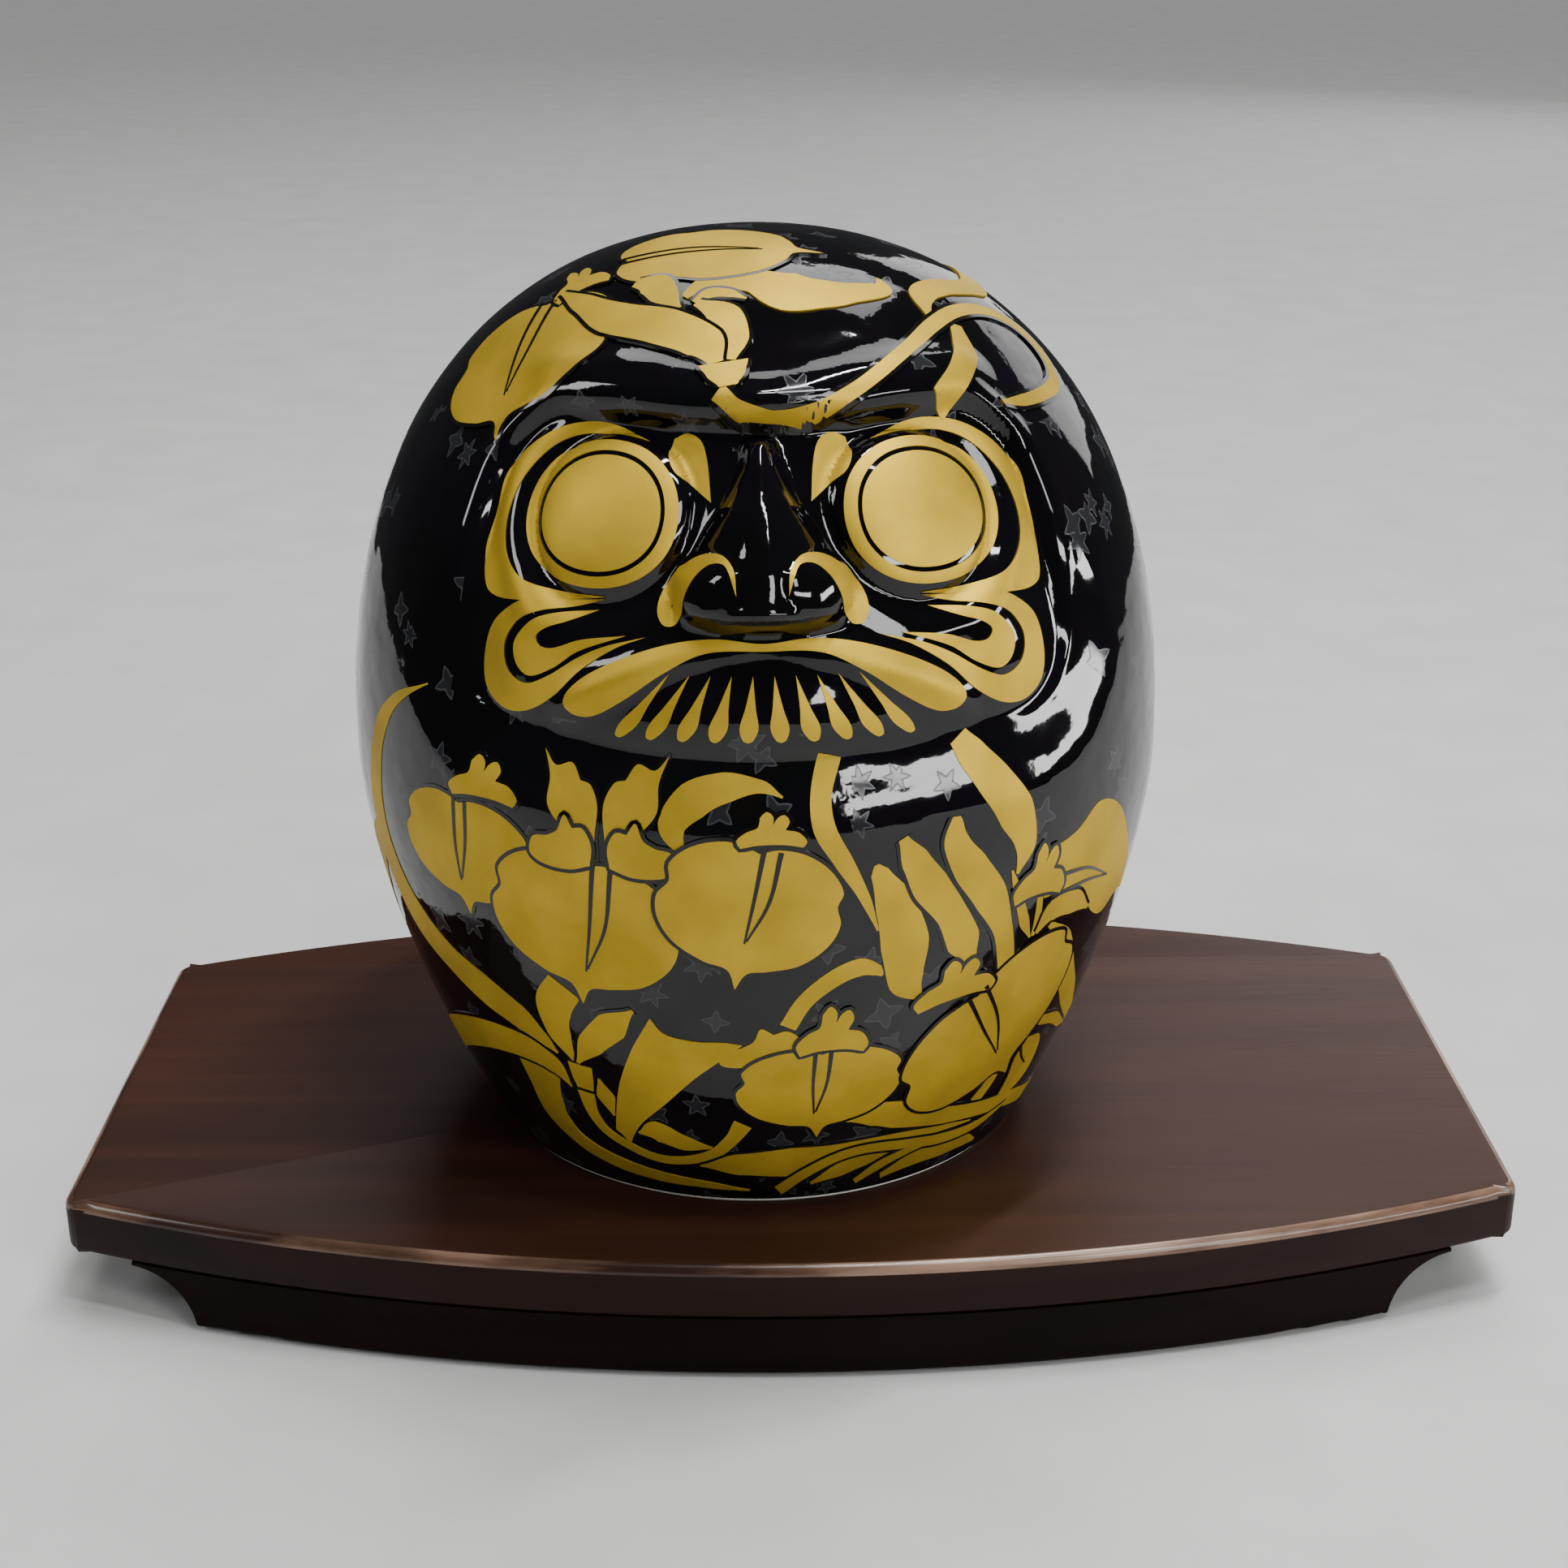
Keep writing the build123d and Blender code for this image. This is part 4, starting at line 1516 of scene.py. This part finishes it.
@dataclass
class FaceGold:
    """The gold lines of the face, mirrored about its middle."""

    form: DollForm
    sight: Sight
    eye: Point = (36.3, 155.2)

    def build(self) -> None:
        """Makes each group of the face's gold as its own piece."""
        self.piece("eye_discs", self.both(lambda: [self.oval(14.3, 10.9)]))
        self.piece("eye_rings", self.both(lambda: [self.oval(18.4, 13.9), self.oval(15.3, 11.8)]))
        self.piece("eye_surrounds", self.both(self.surround))
        self.piece("brow_drops", self.both(self.brow_drop))
        self.piece("nostril_hooks", self.both(self.nostril_hook))
        self.piece("cheek_scrolls", self.both(self.cheek_outer) + self.both(self.cheek_inner))
        self.piece("moustache", [self.moustache()])
        self.piece("beard_drops", self.beard())

    def piece(self, name: str, shapes: Sequence[Sequence[Sequence[Run]]]) -> None:
        """Lays shapes, given from the face's middle, as one gold piece."""
        painter = Painter(self.form, name, cell=0.9, step=0.6, first_lift=0.22)
        for outlines in shapes:
            for runs in outlines:
                runs[:] = [[self.settle(x, y) for x, y in run] for run in runs]
            painter.fill(*outlines)
        painter.finish()

    def settle(self, x: float, y: float) -> Point:
        """Where a point given from the face's middle lies on the relief."""
        across = x + self.form.turn + self.form.skew * (x / 66) ** 2
        return self.sight.carry(across, y)

    def both(self, drawing: Callable[[], Sequence[Sequence[Run]]]) -> list:
        """A right-hand drawing and its mirror image."""
        right = drawing()
        left = [[mirrored(run) for run in runs] for runs in right]
        return [right, left]

    def oval(self, half_x: float, half_y: float, count: int = 16) -> list[Run]:
        """A closed oval round the right eye's middle, a little squared."""
        points = []
        for k in range(count):
            angle = math.tau * k / count
            c, s = math.cos(angle), math.sin(angle)
            x = math.copysign(abs(c) ** 0.94, c) * half_x
            y = math.copysign(abs(s) ** 0.94, s) * half_y
            points.append((self.eye[0] + x, self.eye[1] + y))
        return [points]

    def surround(self) -> list[list[Run]]:
        """Band that curls round the outside of the eye to a tail under it."""
        outer = [
            (27, 169.3),
            (36, 171.8),
            (46, 172.0),
            (56, 168.8),
            (63.5, 161),
            (66, 152.5),
            (65, 144),
            (60.5, 137.8),
            (52, 137.2),
            (42, 138.6),
            (32, 140.0),
        ]
        inner = [
            (32, 140.0),
            (44, 140.2),
            (53, 141.4),
            (58, 145.5),
            (60, 152),
            (58.5, 160),
            (53, 166.5),
            (45, 169.6),
            (36, 170.3),
            (27, 169.3),
        ]
        return [[outer, inner]]

    def brow_drop(self) -> list[list[Run]]:
        """Drop between the eye and the top of the nose."""
        line = [
            (11, 158.2),
            (12.3, 165.5),
            (14.2, 169.7),
            (17.6, 171.2),
            (21, 170),
            (21.9, 167.3),
            (20, 163.8),
            (15.5, 161.2),
            (11, 158.2),
        ]
        return [[line[:5], line[4:]]]

    def nostril_hook(self) -> list[list[Run]]:
        """Hook that follows the nostril wing from the septum to the cheek."""
        outer = [(5.2, 141.2), (5.8, 146), (8.4, 148.7), (12.4, 148.7), (17, 146.4)]
        end = [(17, 146.4), (20, 142), (20.9, 138.2), (19.6, 135.8), (17.4, 135.8), (16, 138)]
        inner = [(16, 138), (15.6, 141.2), (13.6, 144.8), (10.6, 147), (7.6, 146.7), (5.2, 141.2)]
        return [[outer, end, inner]]

    def cheek_outer(self) -> list[list[Run]]:
        """Outer scroll of the cheek."""
        outer = [
            (32, 139.6),
            (44, 138.4),
            (52.5, 136.8),
            (57.6, 132.5),
            (59, 126),
            (57.6, 120),
            (53, 116.9),
            (47.5, 117.3),
            (41.5, 121),
            (36, 126.4),
            (29, 131),
            (23, 133.4),
        ]
        inner = [
            (23, 133.4),
            (31, 131.2),
            (37, 128.4),
            (43.5, 124.2),
            (48.5, 122.3),
            (53, 124.3),
            (54.3, 128.8),
            (52, 133.2),
            (46.5, 136),
            (39, 137.6),
            (32, 139.6),
        ]
        return [[outer, inner]]

    def cheek_inner(self) -> list[list[Run]]:
        """Inner scroll of the cheek, a horseshoe."""
        outer = [
            (33, 137.6),
            (42, 136.2),
            (48.5, 133.8),
            (51.8, 129.6),
            (50.8, 125.6),
            (47.6, 123.8),
            (42.5, 125.8),
            (37, 129.6),
            (27, 133.4),
        ]
        inner = [
            (27, 133.4),
            (36.5, 131.8),
            (42.6, 129.6),
            (45.6, 129.6),
            (46.8, 131.2),
            (44.8, 133),
            (40, 134.8),
            (33, 137.6),
        ]
        return [[outer, inner]]

    def moustache(self) -> list[list[Run]]:
        """Broad moustache from lobe to lobe."""
        top = [(0, 132.8), (9, 133.6), (17, 132.7), (26, 129.9), (34, 126), (38.4, 122.4)]
        lobe = [(38.4, 122.4), (39.4, 119.8), (37, 118), (33, 118.2)]
        under = [(33, 118.2), (27, 121.6), (19, 127.2), (11, 131), (0, 131.4)]
        right = top + lobe[1:] + under[1:]
        left = mirrored(reversed(right))
        return [[right[:-1] + left[:-1]]]

    def beard(self, count: int = 10, spacing: float = 6.1) -> list:
        """Fan of drops under the moustache."""
        drops = []
        for k in range(count):
            foot = (k - (count - 1) / 2) * spacing
            tip = 0.66 * foot
            lean = (foot - tip) / 12.0
            drop = [(tip, 127.0)]
            for x, y in ((1.0, 121.0), (1.75, 117.4), (0.9, 115.2)):
                drop.append((foot + lean * (y - 115.2) * -1 + x, y))
            drop.append((foot, 114.8))
            for x, y in ((-0.9, 115.2), (-1.75, 117.4), (-1.0, 121.0)):
                drop.append((foot + lean * (y - 115.2) * -1 + x, y))
            drop.append((tip, 127.0))
            drops.append([[drop[:5], drop[4:]]])
        return drops


# ---- The stand ----
@dataclass
class Board:
    """The stand's bow-fronted top board."""

    low: Vector
    high: Vector
    end_width: float = 0.111
    corner: float = 0.0026
    upper_round: float = 0.0022
    lower_round: float = 0.0013
    arc_steps: int = 120

    def build(self) -> bpy.types.Object:
        """Makes the board and lets it stand for its CAD node."""
        mesh = bmesh.new()
        half = (self.high.x - self.low.x) / 2
        end = self.end_width / 2
        bow = (self.high.y - self.low.y) / 2 - end
        radius = (half**2 + bow**2) / (2 * bow)
        sweep = 2 * math.asin(half / radius)
        ends = []
        for side in (1, -1):
            first = mesh.verts.new((-side * half, -side * end, self.low.z))
            turn = {"cent": (0, side * (radius - bow - end), 0), "axis": (0, 0, 1), "dvec": (0, 0, 0)}
            arc = bmesh.ops.spin(mesh, geom=[first], angle=sweep, steps=self.arc_steps, **turn)
            ends.append((first, arc["geom_last"][0]))
        for k in (0, 1):
            mesh.edges.new((ends[k][1], ends[1 - k][0]))
        bmesh.ops.contextual_create(mesh, geom=list(mesh.edges))
        grown = bmesh.ops.extrude_face_region(mesh, geom=list(mesh.faces))["geom"]
        upper = [item for item in grown if isinstance(item, bmesh.types.BMVert)]
        bmesh.ops.translate(mesh, verts=upper, vec=(0, 0, self.high.z - self.low.z))
        self.round_edges(mesh, self.is_upright, self.corner, 5)
        self.round_edges(mesh, lambda edge: self.lies_at(edge, self.high.z), self.upper_round, 6)
        self.round_edges(mesh, lambda edge: self.lies_at(edge, self.low.z), self.lower_round, 4)
        bmesh.ops.recalc_face_normals(mesh, faces=mesh.faces)
        for face in mesh.faces:
            # Upward rounds take the worn edge with its painted highlight; upright faces take the wood
            # darkened to 0.45, which is painted shade.
            rounded = 0.12 < face.normal.z < 0.97
            face.material_index = 1 if rounded else 2 * int(abs(face.normal.z) < 0.5)
        board = finish_piece("stand_bowed_board", mesh, StainedWood(), "stand")
        board.data.materials.append(WornHighlitEdge().material())
        board.data.materials.append(StainedWood("lacquered_edge_painted_shade", 0.45, 0.40, 1.24, 0.12).material())
        board.data.set_sharp_from_angle(angle=math.radians(40))
        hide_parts("stand_top")
        return board

    @staticmethod
    def is_upright(edge: bmesh.types.BMEdge) -> bool:
        """Whether an edge is one of the four corners."""
        first, last = (vert.co for vert in edge.verts)
        level = (first - last).xy.length < 1e-6
        return level and edge.calc_face_angle(0.0) > math.radians(40)

    @staticmethod
    def lies_at(edge: bmesh.types.BMEdge, height: float) -> bool:
        """Whether an edge is part of the rim at a height."""
        level = all(abs(vert.co.z - height) < 1e-5 for vert in edge.verts)
        return level and edge.calc_face_angle(0.0) > math.radians(60)

    def round_edges(
        self,
        mesh: bmesh.types.BMesh,
        chosen: Callable[[bmesh.types.BMEdge], bool],
        radius: float,
        segments: int,
    ) -> None:
        """Rounds the chosen edges over."""
        mesh.normal_update()
        edges = [edge for edge in mesh.edges if chosen(edge)]
        bmesh.ops.bevel(
            mesh,
            geom=edges,
            offset=radius,
            offset_type="OFFSET",
            affect="EDGES",
            segments=segments,
            profile=0.5,
            material=-1,
        )


@dataclass
class Stand:
    """The wooden stand: its CAD nodes keep their shape and get their finishes."""

    nodes: dict[str, bpy.types.Object]

    def dress(self) -> None:
        """Makes the board and gives each CAD node of the stand its finish."""
        Board(*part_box("stand_top")).build()
        for name, node in self.nodes.items():
            if name == "doll_body":
                continue
            finish = self.finish_of(name)
            node.data.materials.clear()
            node.data.materials.append(finish.material())
            LOG.info("%s: %s", name, finish.name)

    def finish_of(self, name: str) -> Finish:
        """The finish that suits a node."""
        if name.startswith("felt"):
            return Felt()
        if name == "stand_screws":
            return PlatedSteel()
        if name == "stand_dowels":
            return PlainWood()
        if name.startswith("stand_rail"):
            # The rails' wood is darkened to a fifth with almost no warm glow: painted shade under the
            # board.
            return StainedWood("lacquered_rail_painted_shade", 0.2, 0.45, 1.16, 0.03)
        return StainedWood()


# ---- Studio ----
@dataclass
class Studio:
    """Plain pale floor, soft light and the camera."""

    board_top: float

    @property
    def eye(self) -> Vector:
        """Where the camera stands."""
        return Vector((-0.0050, -0.4944, 0.2654 + self.board_top))

    def build(self) -> None:
        """Sets up floor, lights, background and camera."""
        self.floor()
        self.world()
        self.sun()
        self.lamp("window", (0.62, -0.95, 0.85), (0.30, 0.42), 6.0)
        self.lamp("side", (-0.95, -0.35, 0.75), (0.22, 0.5), 4.0)
        self.lamp("strip", (0.86, -1.02, 0.40), (1.0, 0.11), 8.0, -4)
        self.lamp("strip_right", (1.30, -0.10, 0.20), (0.5, 0.14), 5.0, 4)
        self.lamp("tube_near", (0.26, -0.40, 1.20), (0.07, 0.5), 6.0, 50)
        self.lamp("tube_far", (0.21, 0.03, 1.22), (0.045, 0.5), 11.0, 40)
        self.lamp("card", (1.1, 1.9, 0.75), (1.5, 0.9), 8.0)
        self.lamp("card_top", (0.1, 1.2, 1.6), (1.2, 0.8), 11.0)
        self.camera()

    def floor(self) -> None:
        """A pale floor under the felt pads and a wide one past it that the glaze doesn't mirror."""
        paper = Paper().material()
        for name, size, drop in (("floor", 0.8, 0.0), ("floor_beyond", 14.0, 0.0004)):
            mesh = bmesh.new()
            bmesh.ops.create_grid(mesh, x_segments=2, y_segments=2, size=size)
            bmesh.ops.translate(mesh, verts=mesh.verts, vec=(0, 0, -drop))
            data = bpy.data.meshes.new(name)
            mesh.to_mesh(data)
            mesh.free()
            floor = bpy.data.objects.new(name, data)
            bpy.context.scene.collection.objects.link(floor)
            floor.visible_glossy = name == "floor"
            data.materials.append(paper)

    def world(self) -> None:
        """Even pale surroundings."""
        world = bpy.data.worlds.new("studio")
        bpy.context.scene.world = world
        world.use_nodes = True
        nodes = Nodes(world.node_tree)
        background = world.node_tree.nodes["Background"]
        seen = nodes.add("LightPath").outputs["Is Camera Ray"]
        colour = nodes.blend(seen, (0.042, 0.043, 0.045), (0.42, 0.42, 0.42))
        world.node_tree.links.new(colour, background.inputs[0])

    def sun(self) -> None:
        """A broad even fill for the floor and the wood that leaves no mirror image."""
        data = bpy.data.lights.new("fill", "SUN")
        data.energy = 2.4
        data.angle = math.radians(50)
        lamp = bpy.data.objects.new("fill", data)
        bpy.context.scene.collection.objects.link(lamp)
        lamp.rotation_euler = (math.radians(-20), math.radians(14), 0)
        lamp.visible_glossy = False

    def lamp(
        self,
        name: str,
        place: Sequence[float],
        size: Point,
        power: float,
        roll: float = 0.0,
    ) -> None:
        """A soft rectangular lamp aimed at the doll's middle.

        Args:
            name: the lamp's name.
            place: where it hangs.
            size: its width and height.
            power: its power in watts.
            roll: its turn about its own beam, in degrees.
        """
        data = bpy.data.lights.new(name, "AREA")
        data.shape = "RECTANGLE"
        data.size, data.size_y = size
        data.energy = power
        lamp = bpy.data.objects.new(name, data)
        bpy.context.scene.collection.objects.link(lamp)
        target = Vector((0, 0, 0.1))
        lamp.location = place
        aim = (target - Vector(place)).to_track_quat("-Z", "Y").to_matrix()
        lamp.rotation_euler = (aim @ Matrix.Rotation(math.radians(roll), 3, "Z")).to_euler()

    def camera(self) -> None:
        """A short telephoto that looks down a little from the front."""
        data = bpy.data.cameras.new("camera")
        data.sensor_width = 36.0
        data.lens = 55.9
        pitch, yaw, roll = (math.radians(v) for v in (21.64, 0.49, -0.33))
        forward = Vector(
            (math.sin(yaw) * math.cos(pitch), math.cos(yaw) * math.cos(pitch), -math.sin(pitch))
        )
        level = Vector((math.cos(yaw), -math.sin(yaw), 0.0))
        upward = level.cross(forward)
        right = level * math.cos(roll) + upward * math.sin(roll)
        up = upward * math.cos(roll) - level * math.sin(roll)
        turn = Matrix((right, up, -forward)).transposed()
        camera = bpy.data.objects.new("camera", data)
        camera.matrix_world = Matrix.Translation(self.eye) @ turn.to_4x4()
        bpy.context.scene.collection.objects.link(camera)
        bpy.context.scene.camera = camera


@dataclass(frozen=True)
class Paper(Finish):
    """Plain pale backdrop."""

    name: str = "pale_paper"

    def dress(self, nodes: Nodes, shader: bpy.types.Node) -> None:
        """Sets a matt pale grey with a very faint tooth."""
        place = nodes.add("TexCoord").outputs["Object"]
        tooth = nodes.noise(place, 30.0, 4.0)
        colour = nodes.ramp(tooth, ((0.3, (0.40, 0.40, 0.395)), (0.7, (0.44, 0.44, 0.435))))
        self.join(nodes, shader, Base_Color=colour, Roughness=0.8)


def main() -> None:
    """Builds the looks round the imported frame."""
    logging.basicConfig(level=logging.INFO, format="%(message)s")
    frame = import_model()
    form = DollForm(*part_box("doll_body"))
    DollBody(form).build()
    studio = Studio(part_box("stand_top")[1].z)
    FaceGold(form, Sight(form, studio.eye)).build()
    Garden(form).build()
    Stand(frame["nodes"]).dress()
    studio.build()


if __name__ == "__main__":
    main()
